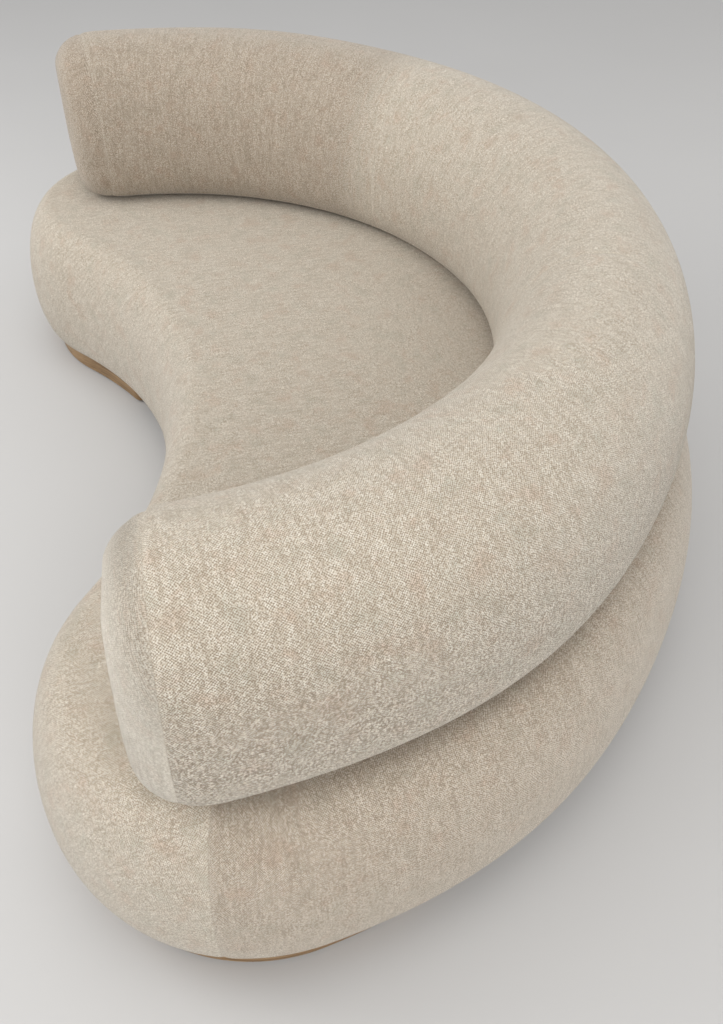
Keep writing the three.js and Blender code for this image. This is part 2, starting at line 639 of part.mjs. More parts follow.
/** Risers through the seat foam, and the bolts and tee nuts that hold the bolster down. */
function addBackFixing() {
  const origin = new THREE.Vector2(0, 0);
  const halfLength = RISER_LENGTH / 2;
  const halfWidth = RISER_WIDTH / 2;
  const outline = [[-1, -1], [1, -1], [1, 1], [-1, 1]].map(
    ([x, y]) => new THREE.Vector2(x * halfLength, y * halfWidth),
  );
  const riser = board(outline, [circle(origin, BOLT_HOLE_RADIUS)], RISER_BOTTOM, RISER_TOP);
  const nutTop = BACK_PLATE_TOP + GAP + TEE_NUT_FLANGE_THICKNESS;
  const headTop = DECK_BOTTOM - GAP;
  const bolt = turned([
    [BOLT_HEAD_RADIUS, headTop - BOLT_HEAD_HEIGHT],
    [BOLT_HEAD_RADIUS, headTop],
    [BOLT_RADIUS, headTop],
    [BOLT_RADIUS, nutTop + BOLT_PAST_NUT],
  ]);
  const bore = BOLT_RADIUS + GAP;
  const barrelBottom = BACK_PLATE_TOP - TEE_NUT_BARREL_LENGTH;
  const teeNut = turned(
    [
      [TEE_NUT_BARREL_RADIUS, barrelBottom],
      [TEE_NUT_BARREL_RADIUS, BACK_PLATE_TOP + GAP],
      [TEE_NUT_FLANGE_RADIUS, BACK_PLATE_TOP + GAP],
      [TEE_NUT_FLANGE_RADIUS, nutTop],
      [bore, nutTop],
      [bore, barrelBottom],
    ],
    ROUND_STEPS,
    true,
  );
  boltPoints.forEach((point, i) => {
    add(`back_riser_${i + 1}`, riser, BEECH, point, BOLT_ANGLES[i] + Math.PI / 2);
    add(`back_bolt_${i + 1}`, bolt, STEEL, point);
    add(`back_tee_nut_${i + 1}`, teeNut, STEEL, point);
  });
}

addFeet();
addSeatFrame();
addWebbing();
addSeatUpholstery();
addBackFrame();
addBackUpholstery();
addBackFixing();

// The plan centre is the centre of the back arc; the origin is the middle of the whole depth.
const depths = seatOutline(0).map((point) => point.y);
sofa.position.y = -(Math.min(...depths) + Math.max(...depths)) / 2;

export default sofa;
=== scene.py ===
"""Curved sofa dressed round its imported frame: a kidney-shaped seat body on three low drum feet,
carrying a thick C-shaped bolster, all in one looped cream cloth.

Metres, +Z up, +X along the sofa and +Y towards its back.
"""
import logging
import math
from dataclasses import dataclass, field
from enum import Enum
from typing import ClassVar, Iterable, Sequence

import bmesh
import bpy
import numpy as np
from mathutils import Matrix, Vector
from mathutils.bvhtree import BVHTree


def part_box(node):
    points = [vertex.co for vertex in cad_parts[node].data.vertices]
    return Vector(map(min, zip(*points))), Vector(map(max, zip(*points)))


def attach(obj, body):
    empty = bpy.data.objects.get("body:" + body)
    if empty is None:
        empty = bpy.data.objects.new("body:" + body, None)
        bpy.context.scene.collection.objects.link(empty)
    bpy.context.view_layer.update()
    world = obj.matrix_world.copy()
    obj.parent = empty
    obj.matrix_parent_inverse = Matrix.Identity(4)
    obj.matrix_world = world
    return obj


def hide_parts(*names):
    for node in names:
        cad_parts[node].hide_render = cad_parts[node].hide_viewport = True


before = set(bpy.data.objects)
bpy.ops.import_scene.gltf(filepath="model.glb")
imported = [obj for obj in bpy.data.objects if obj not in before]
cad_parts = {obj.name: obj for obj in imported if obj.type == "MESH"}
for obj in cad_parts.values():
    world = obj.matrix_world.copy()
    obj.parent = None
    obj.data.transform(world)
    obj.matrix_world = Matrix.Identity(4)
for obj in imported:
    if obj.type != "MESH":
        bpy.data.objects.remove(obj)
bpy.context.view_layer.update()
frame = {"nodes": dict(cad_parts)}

LOG = logging.getLogger("sofa")
MM = 0.001
ROOT = "root"
WEAVE = "weave"  # cloth or grain coordinates of each face corner, in metres; a cover keeps its painted light in the third part
SEAM = "seam"  # distance to the nearest seam, in metres
PILE_AND_SHADE = "pile"  # how fat and loose the loops stand, 0 to 1; it also sets how much shade is painted between them

WELD = 0.4 * MM  # corners closer than this to a cut count as lying on it

Colour = tuple[float, float, float, float]
Socket = bpy.types.NodeSocket


class Slot(Enum):
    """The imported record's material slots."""

    BOUCLE = "boucle"
    FELT = "felt"
    OAK = "oak"


class Side(Enum):
    """Ends of the sofa, seen from above with the back upwards."""

    RIGHT = 1
    LEFT = -1


def srgb(red: int, green: int, blue: int) -> Colour:
    """Turns a colour written from 0 to 255 into the linear one that a shader takes.

    Args:
        red: Red, 0 to 255.
        green: Green, 0 to 255.
        blue: Blue, 0 to 255.

    Returns:
        Linear red, green, blue and an alpha of 1.
    """
    linear = [
        c / 12.92 if c <= 0.04045 else ((c + 0.055) / 1.055) ** 2.4
        for c in (red / 255, green / 255, blue / 255)
    ]
    return (*linear, 1.0)


# ------------------------------------------------------------------ forms


def arc(centre: Sequence[float], radius: float, start: float, stop: float, steps: int) -> np.ndarray:
    """Points along an arc, without its last one.

    Args:
        centre: Centre in plan.
        radius: Radius.
        start: First angle, in radians.
        stop: Last angle, in radians.
        steps: Number of points.

    Returns:
        Array of plan points.
    """
    angle = start + (stop - start) * np.arange(steps) / steps
    return np.stack([centre[0] + radius * np.cos(angle), centre[1] + radius * np.sin(angle)], 1)


def round_over(turn: float, power: float) -> tuple[float, float]:
    """One point of a superellipse quarter.

    Args:
        turn: Angle round the quarter, in radians.
        power: 2 is an ellipse, more is squarer.

    Returns:
        Share run in and share risen.
    """
    run = max(0.0, math.cos(turn)) ** (2 / power)
    return 1 - run, max(0.0, math.sin(turn)) ** (2 / power)


def lifted(outline: np.ndarray, height: float) -> np.ndarray:
    """A plan outline as points at one height."""
    return np.column_stack([outline, np.full(len(outline), height)])


def run_length(points: np.ndarray, closed: bool = False) -> np.ndarray:
    """Length run along a line up to each of its points.

    Args:
        points: Points of the line.
        closed: Whether to add the length of the closing step at the end.

    Returns:
        Running lengths, starting at 0.
    """
    line = np.vstack([points, points[:1]]) if closed else points
    steps = np.linalg.norm(np.diff(line, axis=0), axis=1)
    return np.concatenate([[0.0], np.cumsum(steps)])


def place_on(outline: np.ndarray, points: np.ndarray) -> tuple[np.ndarray, np.ndarray]:
    """Nearest place on a closed outline for each plan point.

    Args:
        outline: Closed plan outline, without its first point repeated.
        points: Plan points.

    Returns:
        Place as a fractional index, and the distance to it.
    """
    ends = np.roll(outline, -1, 0)
    spans = ends - outline
    squared = (spans**2).sum(1)
    place, distance = np.zeros(len(points)), np.zeros(len(points))
    block = 4096
    for first in range(0, len(points), block):
        some = points[first : first + block]
        share = ((some[:, None, :] - outline[None]) * spans[None]).sum(2) / squared[None]
        share = np.clip(share, 0, 1)
        away = some[:, None, :] - outline[None] - share[..., None] * spans[None]
        gap = (away**2).sum(2)
        best = gap.argmin(1)
        rows = np.arange(len(some))
        place[first : first + block] = best + share[rows, best]
        distance[first : first + block] = np.sqrt(gap[rows, best])
    return place, distance


def at_place(values: np.ndarray, place: np.ndarray) -> np.ndarray:
    """Values of a closed outline at fractional indices.

    Args:
        values: One row for each point of the outline.
        place: Fractional indices.

    Returns:
        Interpolated rows.
    """
    low = np.floor(place).astype(int)
    share = (place - low)[:, None]
    count = len(values)
    return values[low % count] * (1 - share) + values[(low + 1) % count] * share


def reach(outline: np.ndarray, start: Sequence[float], ways: np.ndarray) -> np.ndarray:
    """Distance from a point inside a closed outline to its edge.

    Args:
        outline: Closed plan outline, without its first point repeated.
        start: The point.
        ways: Directions as rows of unit length.

    Returns:
        One distance for each direction.
    """
    sides = np.roll(outline, -1, 0) - outline
    offsets = outline - np.asarray(start)
    across = ways[:, :1] * sides[:, 1] - ways[:, 1:] * sides[:, 0]
    share = (offsets[:, 0] * ways[:, 1:] - offsets[:, 1] * ways[:, :1]) / across
    along = (offsets[:, 0] * sides[:, 1] - offsets[:, 1] * sides[:, 0]) / across
    hit = (share >= 0) & (share <= 1) & (along > 0)
    return np.where(hit, along, np.inf).min(1)


def smooth(value: np.ndarray, low: float, high: float) -> np.ndarray:
    """Smooth climb from 0 at low to 1 at high."""
    share = np.clip((value - low) / (high - low), 0.0, 1.0)
    return share * share * (3 - 2 * share)


@dataclass(frozen=True)
class Shoulder:
    """Extra stuffing where the back curves round into each arm."""

    amount: float = 12 * MM
    middle: float = math.radians(27)
    reach: float = math.radians(24)

    def depth(self, plan: np.ndarray, outwards: np.ndarray) -> np.ndarray:
        """How far the cover stands out beyond its form.

        Args:
            plan: Plan points about the centre of the back arc.
            outwards: Surface normals of the form.

        Returns:
            One depth for each point, 0 on flat tops and on inner sides.
        """
        angle = np.arctan2(plan[:, 1], np.abs(plan[:, 0]))
        share = np.clip(np.abs(angle - self.middle) / self.reach, 0.0, 1.0)
        radial = plan / np.linalg.norm(plan, axis=1, keepdims=True)
        facing = np.maximum(0.0, (outwards[:, :2] * radial).sum(1))
        return self.amount * np.cos(share * math.pi / 2) ** 2 * facing


@dataclass(frozen=True)
class EndCrown:
    """Extra stuffing behind the end panel of one arm."""

    side: Side
    angle: float
    amount: float = 15 * MM
    fade: float = 130 * MM

    def depth(self, plan: np.ndarray, outwards: np.ndarray) -> np.ndarray:
        """How far the cover stands out beyond its form, as for a shoulder.

        Args:
            plan: Plan points about the centre of the back arc.
            outwards: Surface normals of the form.

        Returns:
            One depth for each point.
        """
        way = np.array([-self.side.value * math.sin(self.angle), -math.cos(self.angle)])
        own = plan[:, 0] * self.side.value > 0
        near = smooth(plan @ way, -self.fade, 0.0) * own
        return self.amount * near * smooth(outwards[:, :2] @ way, 0.0, 1.0)


@dataclass(frozen=True)
class SeatForm:
    """Outer shape of the seat body: four arcs in plan and a rounded side.

    Heights are above the floor, and the plan's arcs turn round the bolster's centre.
    """

    back_radius: float = 1180 * MM
    lobe_radius: float = 360 * MM
    lobe_angle: float = math.radians(8)
    front_radius: float = 935 * MM
    centre_y: float = -467.6 * MM
    top: float = 400 * MM
    underside: float = 57 * MM
    widest: float = 185 * MM
    top_round: float = 88 * MM
    under_round: float = 38 * MM
    steps: tuple[int, int, int] = (180, 56, 64)

    def centre(self) -> np.ndarray:
        """Centre of the back arc, in plan."""
        return np.array([0.0, self.centre_y])

    def lobe_centre(self, side: Side) -> np.ndarray:
        """Centre of the round front corner at one end, in plan.

        Args:
            side: Which end.

        Returns:
            The plan point.
        """
        reach = self.back_radius - self.lobe_radius
        offset = (side.value * reach * math.cos(self.lobe_angle), reach * math.sin(self.lobe_angle))
        return self.centre() + np.array(offset)

    def front_centre(self) -> np.ndarray:
        """Centre of the hollow arc along the front, in plan.

        Returns:
            The plan point.
        """
        lobe = self.lobe_centre(Side.RIGHT)
        drop = math.sqrt((self.front_radius + self.lobe_radius) ** 2 - lobe[0] ** 2)
        return np.array([0.0, lobe[1] - drop])

    def outline(self, inset: float) -> np.ndarray:
        """Kidney outline moved inwards.

        Args:
            inset: Distance inside the widest outline.

        Returns:
            Plan points, anticlockwise from the right end of the back arc.
        """
        right, left = self.lobe_centre(Side.RIGHT), self.lobe_centre(Side.LEFT)
        front = self.front_centre()
        back_join = self.lobe_angle
        front_join = math.atan2(front[1] - right[1], right[0])
        back_steps, lobe_steps, front_steps = self.steps
        lobe = self.lobe_radius - inset
        return np.vstack([
            arc(self.centre(), self.back_radius - inset, back_join, math.pi - back_join, back_steps),
            arc(left, lobe, math.pi - back_join, 2 * math.pi + front_join, lobe_steps),
            arc(front, self.front_radius + inset, math.pi + front_join, -front_join, front_steps),
            arc(right, lobe, -math.pi - front_join, back_join, lobe_steps),
        ])

    def section(self, depth: float, levels: int = 12) -> list[tuple[float, float]]:
        """Side of the body from its underside to its top.

        Args:
            depth: How far the sides and the top lie inside the form.
            levels: Number of steps in each of the two roundings.

        Returns:
            Pairs of inset and height.
        """
        points = []
        for step in range(levels, 0, -1):
            inwards, rise = round_over(math.pi / 2 * step / levels, 2)
            drop = self.widest - self.underside
            points.append((depth + self.under_round * inwards, self.widest - drop * rise))
        for step in range(levels + 1):
            inwards, rise = round_over(math.pi / 2 * step / levels, 2)
            climb = self.top - depth - self.widest
            points.append((depth + self.top_round * inwards, self.widest + climb * rise))
        return points

    def rings(self, depth: float) -> list[np.ndarray]:
        """Stacked outlines of the body, from its underside to its top."""
        return [lifted(self.outline(inset), height) for inset, height in self.section(depth)]


@dataclass(frozen=True)
class BackForm:
    """Outer shape of the bolster: a fat roll along an arc, standing on a narrower strip."""

    radius: float = 932 * MM
    centre_y: float = -467.6 * MM
    half_width: float = 184 * MM
    bottom: float = 400.3 * MM
    widest: float = 515 * MM
    top: float = 780 * MM
    high_power: float = 2.05
    low_power: float = 2.6
    foot_half_width: float = 115 * MM
    crown_half_width: float = 14 * MM
    arm_angle: float = math.radians(4)
    end_round: float = 92 * MM
    end_tuck: float = 0.42
    corner_share: float = 0.85
    steps: int = 240
    corner_steps: int = 10

    def centre(self) -> np.ndarray:
        """Centre of the roll's arc, in plan."""
        return np.array([0.0, self.centre_y])

    def length(self) -> float:
        """Length of the roll along its centre line."""
        return self.radius * (math.pi + 2 * self.arm_angle)

    def point(self, along: np.ndarray, across: np.ndarray) -> np.ndarray:
        """Plan points at a length along the roll and a distance outwards from its centre line.

        Args:
            along: Length along the roll's centre line.
            across: Distance outwards from it.

        Returns:
            Plan points.
        """
        angle = np.asarray(along) / self.radius - self.arm_angle
        reach = self.radius + np.asarray(across)
        return self.centre() + np.stack([reach * np.cos(angle), reach * np.sin(angle)], -1)

    def polar(self, points: np.ndarray) -> tuple[np.ndarray, np.ndarray]:
        """Angle of points round the arc, and their distance outwards from the roll's centre line.

        Args:
            points: Points as rows.

        Returns:
            One angle in radians and one distance for each point.
        """
        plan = points[:, :2] - self.centre()
        angle = np.arctan2(plan[:, 1], plan[:, 0])
        angle = np.where(angle < -np.pi / 2, angle + 2 * np.pi, angle)
        return angle, np.hypot(plan[:, 0], plan[:, 1]) - self.radius

    def outline(self, side: float, end: float) -> np.ndarray:
        """C-shaped outline moved inwards.

        Args:
            side: Distance in from both long sides.
            end: Distance in from both ends.

        Returns:
            Plan points, outer side first.
        """
        half = self.half_width - side
        corner = min(self.end_round, self.corner_share * half)
        near, far = end + corner, self.length() - end - corner
        run = np.arange(self.steps) / self.steps
        turn = np.pi / 2 * np.arange(self.corner_steps) / self.corner_steps

        def bend(along: float, across: float, start: float) -> np.ndarray:
            """One rounded corner about a point of the roll, clockwise from an angle."""
            angle = start - turn
            return self.point(along + corner * np.cos(angle), across + corner * np.sin(angle))

        flat = np.full(self.steps, half)
        return np.vstack([
            self.point(near + (far - near) * run, flat),
            bend(far, half - corner, np.pi / 2),
            bend(far, corner - half, 0.0),
            self.point(far + (near - far) * run, -flat),
            bend(near, corner - half, -np.pi / 2),
            bend(near, half - corner, np.pi),
        ])

    def end_draw(self, height: float, top: float) -> float:
        """How far an end has drawn back at a height, rounded over towards the top."""
        above = min(self.end_round, max(0.0, height - (top - self.end_round)))
        return self.end_round - math.sqrt(self.end_round**2 - above**2)

    def section(self, depth: float, levels: int = 12) -> list[tuple[float, float, float]]:
        """Side of the roll from the seat to its top.

        Args:
            depth: How far the surface lies inside the form.
            levels: Number of steps below and above the widest line.

        Returns:
            Triples of inset from the sides, inset from the ends, and height.
        """
        share = (self.foot_half_width / self.half_width) ** (self.low_power / 2)
        start = math.acos(share)
        drop, top = self.widest - self.bottom, self.top - depth
        scale = drop / round_over(start, self.low_power)[1]
        points = []
        for step in range(levels, 0, -1):
            inwards, rise = round_over(start * step / levels, self.low_power)
            run = self.half_width * inwards
            points.append((depth + run, depth + run * self.end_tuck, self.widest - scale * rise))
        last = math.acos((self.crown_half_width / self.half_width) ** (self.high_power / 2))
        for step in range(2 * levels + 1):
            inwards, rise = round_over(last * step / (2 * levels), self.high_power)
            height = self.widest + (top - self.widest) * rise
            run = self.half_width * inwards
            points.append((depth + run, depth + self.end_draw(height, top), height))
        return points

    def rings(self, depth: float) -> list[np.ndarray]:
        """Stacked outlines of the roll, from the seat to its top."""
        return [self.ring(*row) for row in self.section(depth)]

    def ring(self, side: float, end: float, height: float) -> np.ndarray:
        """One outline at its height."""
        return lifted(self.outline(side, end), height)

    def strip(self, inset: float = 0.0) -> np.ndarray:
        """Outline of the strip that stands on the seat, moved inwards."""
        run = self.half_width - self.foot_half_width
        return self.outline(run + inset, run * self.end_tuck + inset)


# ------------------------------------------------------------------ meshes


def new_object(name: str, mesh: bpy.types.Mesh) -> bpy.types.Object:
    """Links a mesh to the scene as an object.

    Args:
        name: Name of the piece.
        mesh: Its mesh.

    Returns:
        The new object.
    """
    mesh.name = name
    piece = bpy.data.objects.new(name, mesh)
    bpy.context.scene.collection.objects.link(piece)
    return piece


def loft(rings: Sequence[np.ndarray]) -> bpy.types.Mesh:
    """Closed mesh through rings of equal count, with a flat face at each end.

    Args:
        rings: Rings from the lowest to the highest.

    Returns:
        The mesh.
    """
    count = len(rings[0])
    faces = [
        (low + i, low + (i + 1) % count, low + count + (i + 1) % count, low + count + i)
        for low in range(0, count * (len(rings) - 1), count)
        for i in range(count)
    ]
    faces.append(tuple(reversed(range(count))))
    faces.append(tuple(range(count * (len(rings) - 1), count * len(rings))))
    mesh = bpy.data.meshes.new("loft")
    mesh.from_pydata(np.vstack(rings).tolist(), [], faces)
    return mesh


def corners(mesh: bpy.types.Mesh) -> np.ndarray:
    """Vertex positions of a mesh as rows.

    Args:
        mesh: The mesh.

    Returns:
        One row for each vertex.
    """
    rows = np.zeros(len(mesh.vertices) * 3)
    mesh.vertices.foreach_get("co", rows)
    return rows.reshape(-1, 3)


def move_to(mesh: bpy.types.Mesh, rows: np.ndarray) -> None:
    """Writes vertex positions back to a mesh."""
    mesh.vertices.foreach_set("co", rows.astype(np.float32).ravel())
    mesh.update()


def normals(mesh: bpy.types.Mesh) -> np.ndarray:
    """Vertex normals of a mesh as rows.

    Args:
        mesh: The mesh.

    Returns:
        One row for each vertex.
    """
    rows = np.zeros(len(mesh.vertices) * 3)
    mesh.vertex_normals.foreach_get("vector", rows)
    return rows.reshape(-1, 3)


def apply_all(piece: bpy.types.Object) -> None:
    """Replaces a piece's mesh with what its modifiers make of it, and removes them.

    Args:
        piece: The piece.
    """
    evaluated = piece.evaluated_get(bpy.context.evaluated_depsgraph_get())
    made = bpy.data.meshes.new_from_object(evaluated)
    old, name = piece.data, piece.data.name
    piece.modifiers.clear()
    piece.data = made
    bpy.data.meshes.remove(old)
    made.name = name


def lay_on(mesh: bpy.types.Mesh, rows: np.ndarray) -> None:
    """Stores cloth or grain coordinates, one row for each face corner."""
    kept = mesh.attributes.new(WEAVE, "FLOAT_VECTOR", "CORNER")
    kept.data.foreach_set("vector", rows.astype(np.float32).ravel())


def smooth_shade(mesh: bpy.types.Mesh) -> None:
    """Shades every face of a mesh smooth."""
    mesh.polygons.foreach_set("use_smooth", [True] * len(mesh.polygons))


@dataclass(frozen=True)
class SeamPlane:
    """Half of an upright plane that a seam follows.

    The half plane starts at origin and runs along reach; across is its normal in plan.
    """

    origin: tuple[float, float]
    reach: tuple[float, float]
    across: tuple[float, float]
    cut_width: ClassVar[float] = 50 * MM

    @classmethod
    def at_end(cls, side: Side, angle: float, centre: np.ndarray, ahead: float) -> "SeamPlane":
        """Plane that turns below the sofa's length at one of its ends.

        Args:
            side: Which end.
            angle: How far it turns, in radians.
            centre: Plan point that it turns round.
            ahead: Distance from that point across to the plane.

        Returns:
            The plane.
        """
        reach = (side.value * math.cos(angle), -math.sin(angle))
        across = (side.value * math.sin(angle), math.cos(angle))
        return cls(tuple(centre + np.array(across) * ahead), reach, across)

    def offset(self, points: np.ndarray) -> np.ndarray:
        """Signed distance of each point from the plane."""
        return (points[:, :2] - np.array(self.origin)) @ np.array(self.across)

    def ahead(self, points: np.ndarray) -> np.ndarray:
        """How far each point lies along the half plane, below 0 behind its start."""
        return (points[:, :2] - np.array(self.origin)) @ np.array(self.reach)

    def cut(self, mesh: bpy.types.Mesh, offsets: Iterable[float]) -> None:
        """Cuts edge loops into a mesh along the plane.

        Args:
            mesh: The mesh to cut.
            offsets: Distance of each loop from the plane.
        """
        work = bmesh.new()
        work.from_mesh(mesh)
        reach, across = Vector((*self.reach, 0)), Vector((*self.across, 0))
        for offset in offsets:
            start = Vector((*self.origin, 0)) + across * offset
            faces = [f for f in work.faces if (f.calc_center_median() - start).dot(reach) > 0]
            near = [
                f for f in faces if abs((f.calc_center_median() - start).dot(across)) < self.cut_width
            ]
            geometry = set(near)
            for f in near:
                geometry.update(f.edges)
                geometry.update(f.verts)
            bmesh.ops.bisect_plane(
                work, geom=list(geometry), dist=WELD, plane_co=start, plane_no=across
            )
        work.to_mesh(mesh)
        work.free()


@dataclass(frozen=True)
class Swell:
    """How a cover is puffed up by cloth simulation."""

    voxel: float
    start_depth: float = 2 * MM
    pressure: float = 4.0
    frames: int = 20
    cap: float = 5.5 * MM
    clearance: float = 0.6 * MM
    softness: float = 1.0 * MM
    fuller: tuple[Shoulder | EndCrown, ...] = (Shoulder(),)
    smoothing: int = 6
    smoothing_factor: float = 0.5
    quick_share: float = 0.7
    quality: int = 6
    stiffness: float = 18.0
    bending: float = 6.0

    def remesh(self, piece: bpy.types.Object) -> None:
        """Rebuilds a piece from even quads and smooths the voxel steps away.

        Args:
            piece: Closed cover.
        """
        voxels = piece.modifiers.new("even", "REMESH")
        voxels.mode, voxels.voxel_size = "VOXEL", self.voxel
        soften = piece.modifiers.new("soften", "SMOOTH")
        soften.factor, soften.iterations = self.smoothing_factor, self.smoothing
        apply_all(piece)

    def settle(self, piece: bpy.types.Object, held: np.ndarray) -> None:
        """Blows a cover up under pressure and keeps the capped result.

        Args:
            piece: Closed cover, in even quads.
            held: For each vertex, whether something holds it still.
        """
        rest = corners(piece.data)
        group = piece.vertex_groups.new(name="held")
        group.add([int(i) for i in np.flatnonzero(held)], 1.0, "REPLACE")
        cloth = piece.modifiers.new("cloth", "CLOTH")
        cloth.settings.vertex_group_mass = group.name
        cloth.settings.use_pressure = True
        cloth.settings.uniform_pressure_force = self.pressure
        cloth.settings.quality = self.quality
        cloth.settings.tension_stiffness = self.stiffness
        cloth.settings.compression_stiffness = self.stiffness
        cloth.settings.bending_stiffness = self.bending
        cloth.settings.effector_weights.gravity = 0
        cloth.collision_settings.use_collision = False
        cloth.point_cache.frame_start, cloth.point_cache.frame_end = 1, self.frames
        scene = bpy.context.scene
        for number in range(1, self.frames + 1):
            scene.frame_set(number)
        evaluated = piece.evaluated_get(bpy.context.evaluated_depsgraph_get())
        moved = corners(evaluated.data) - rest
        piece.modifiers.remove(cloth)
        piece.vertex_groups.clear()
        scene.frame_set(1)
        size = np.linalg.norm(moved, axis=1, keepdims=True)
        gentle = self.cap * (1 - np.exp(-size / self.cap)) / np.maximum(size, 1e-9)
        LOG.info("%s swelled %.1f mm at most before the cap", piece.name, size.max() / MM)
        move_to(piece.data, rest + moved * gentle)

    def stand_clear(self, mesh: bpy.types.Mesh, form: Sequence[np.ndarray], centre: np.ndarray) -> None:
        """Lifts whatever lies inside the stuffed form to just outside it, and fills the shoulders.

        Args:
            mesh: Swelled mesh of the cover.
            form: Rings of the form that the stuffing fills.
            centre: Centre of the back arc, in plan.
        """
        core = loft(form)
        faces = [tuple(face.vertices) for face in core.polygons]
        tree = BVHTree.FromPolygons([v.co for v in core.vertices], faces)
        bpy.data.meshes.remove(core)
        points = corners(mesh)
        found = [tree.find_nearest(Vector(point))[:2] for point in points]
        nearest = np.array([place for place, _ in found])
        outwards = np.array([normal for _, normal in found])
        height = ((points - nearest) * outwards).sum(1)
        eased = np.logaddexp(0.0, (height - self.clearance) / self.softness) * self.softness
        lift = self.clearance + eased - height
        for place in self.fuller:
            lift += place.depth(points[:, :2] - centre, outwards)
        LOG.info("%s lifted %.1f mm at most clear of its form", mesh.name, lift.max() / MM)
        move_to(mesh, points + outwards * lift[:, None])


class Cover:
    """A stuffed cover: remeshed, swelled, subdivided, turned under, seamed and given its weave."""

    name: ClassVar[str] = ""
    # painted light of each panel: painted shade below 0, painted highlight above 0
    painted_light: ClassVar[dict[int, float]] = {}

    def __init__(self, swell: Swell, seams: Sequence[SeamPlane]) -> None:
        """Keeps how the cover swells and where its seams run.

        Args:
            swell: How the cover swells.
            seams: Where its seams run.
        """
        self.swell = swell
        self.seams = seams
        self.groove_depth = 1.6 * MM
        self.groove_width = 5.0 * MM
        self.seam_loops = (0.0, -3 * MM, 3 * MM, -8 * MM, 8 * MM)
        self.rim_merge = 3 * MM

    def rings(self, depth: float) -> list[np.ndarray]:
        """Stacked outlines of the cover's form."""
        raise NotImplementedError

    def centre(self) -> np.ndarray:
        """Centre of the back arc, in plan."""
        raise NotImplementedError

    def pile(self, points: np.ndarray) -> np.ndarray:
        """How fat and loose the loops stand at each point, 0 to 1, which also sets how much shade is
        painted between them.
        """
        raise NotImplementedError

    def held(self, points: np.ndarray) -> np.ndarray:
        """Whether each point is held still while the cover swells."""
        raise NotImplementedError

    def rest_on(self, points: np.ndarray) -> np.ndarray:
        """Moves the swelled points to where the neighbours press them."""
        return points

    def turn_under(self) -> tuple[float, list[np.ndarray], list[float]]:
        """Height of the cut, and rings below it with how much of the swelling each one keeps."""
        raise NotImplementedError

    def panels(self, points: np.ndarray) -> np.ndarray:
        """Number of the cloth panel that each point lies on."""
        raise NotImplementedError

    def weave(self, points: np.ndarray, panel: int) -> np.ndarray:
        """Cloth coordinates of points as parts of one panel."""
        raise NotImplementedError

    def tone(self, points: np.ndarray, panel: int) -> np.ndarray:
        """Painted light at points of one panel: painted shade below 0, painted highlight above 0."""
        return np.full(len(points), self.painted_light[panel])

    def build(self) -> bpy.types.Object:
        """Makes the cover.

        Returns:
            The finished piece, without its material.
        """
        piece = new_object(self.name, loft(self.rings(self.swell.start_depth)))
        self.swell.remesh(piece)
        self.swell.settle(piece, self.held(corners(piece.data)))
        piece.modifiers.new("finer", "SUBSURF").levels = 1
        apply_all(piece)
        self.swell.stand_clear(piece.data, self.rings(0.0), self.centre())
        move_to(piece.data, self.rest_on(corners(piece.data)))
        self.hem(piece.data)
        for seam in self.seams:
            seam.cut(piece.data, self.seam_loops)
        self.press_seams(piece.data)
        self.lay_weave(piece.data)
        smooth_shade(piece.data)
        return piece

    def hem(self, mesh: bpy.types.Mesh) -> None:
        """Turns the cover's lower edge under and closes it.

        Args:
            mesh: Closed mesh of the swelled cover.
        """
        height, rings, keeps = self.turn_under()
        work = bmesh.new()
        work.from_mesh(mesh)
        bmesh.ops.bisect_plane(
            work, geom=[*work.verts, *work.edges, *work.faces], dist=WELD,
            plane_co=(0, 0, height), plane_no=(0, 0, 1), clear_inner=True,
        )
        rim = [v for v in work.verts if v.is_boundary]
        bmesh.ops.remove_doubles(work, verts=rim, dist=self.rim_merge)
        edges = [e for e in work.edges if e.is_boundary]
        loop = self.in_order(edges)
        points = np.array([v.co for v in loop])
        form = rings[0][:, :2]
        place, _ = place_on(form, points[:, :2])
        swelling = points[:, :2] - at_place(form, place)
        above = loop
        for ring, keep in zip(rings[1:], keeps[1:]):
            plan = at_place(ring[:, :2], place) + swelling * keep
            below = [work.verts.new((x, y, ring[0, 2])) for x, y in plan]
            for i, vertex in enumerate(above):
                follow = (i + 1) % len(above)
                work.faces.new((vertex, above[follow], below[follow], below[i]))
            above = below
        work.faces.new(above)
        bmesh.ops.recalc_face_normals(work, faces=work.faces)
        work.to_mesh(mesh)
        work.free()

    @staticmethod
    def in_order(edges: Sequence[bmesh.types.BMEdge]) -> list[bmesh.types.BMVert]:
        """Vertices of one closed loop of edges, in their order round it.

        Args:
            edges: The edges, in any order.

        Returns:
            The vertices.
        """
        first = edges[0].verts[0]
        marked = set(edges)
        loop, last = [first], None
        while True:
            step = next(e for e in loop[-1].link_edges if e in marked and e is not last)
            following = step.other_vert(loop[-1])
            if following is first:
                return loop
            loop.append(following)
            last = step

    def seam_distance(self, points: np.ndarray) -> np.ndarray:
        """Distance of each point from the nearest seam.

        Args:
            points: Points as rows.

        Returns:
            One distance for each point.
        """
        nearest = np.full(len(points), 1.0)
        for seam in self.seams:
            gap = np.where(seam.ahead(points) > 0, np.abs(seam.offset(points)), 1.0)
            nearest = np.minimum(nearest, gap)
        return nearest

    def press_seams(self, mesh: bpy.types.Mesh) -> None:
        """Draws the cloth in along its seams, and records the distance to them and the pile with its
        painted shade.

        Args:
            mesh: Mesh of the cover.
        """
        points = corners(mesh)
        gap = self.seam_distance(points)
        groove = self.groove_depth * np.exp(-((gap / self.groove_width) ** 2))
        move_to(mesh, points - normals(mesh) * groove[:, None])
        for name, values in ((SEAM, gap), (PILE_AND_SHADE, self.pile(points))):
            kept = mesh.attributes.new(name, "FLOAT", "POINT")
            kept.data.foreach_set("value", values.astype(np.float32))

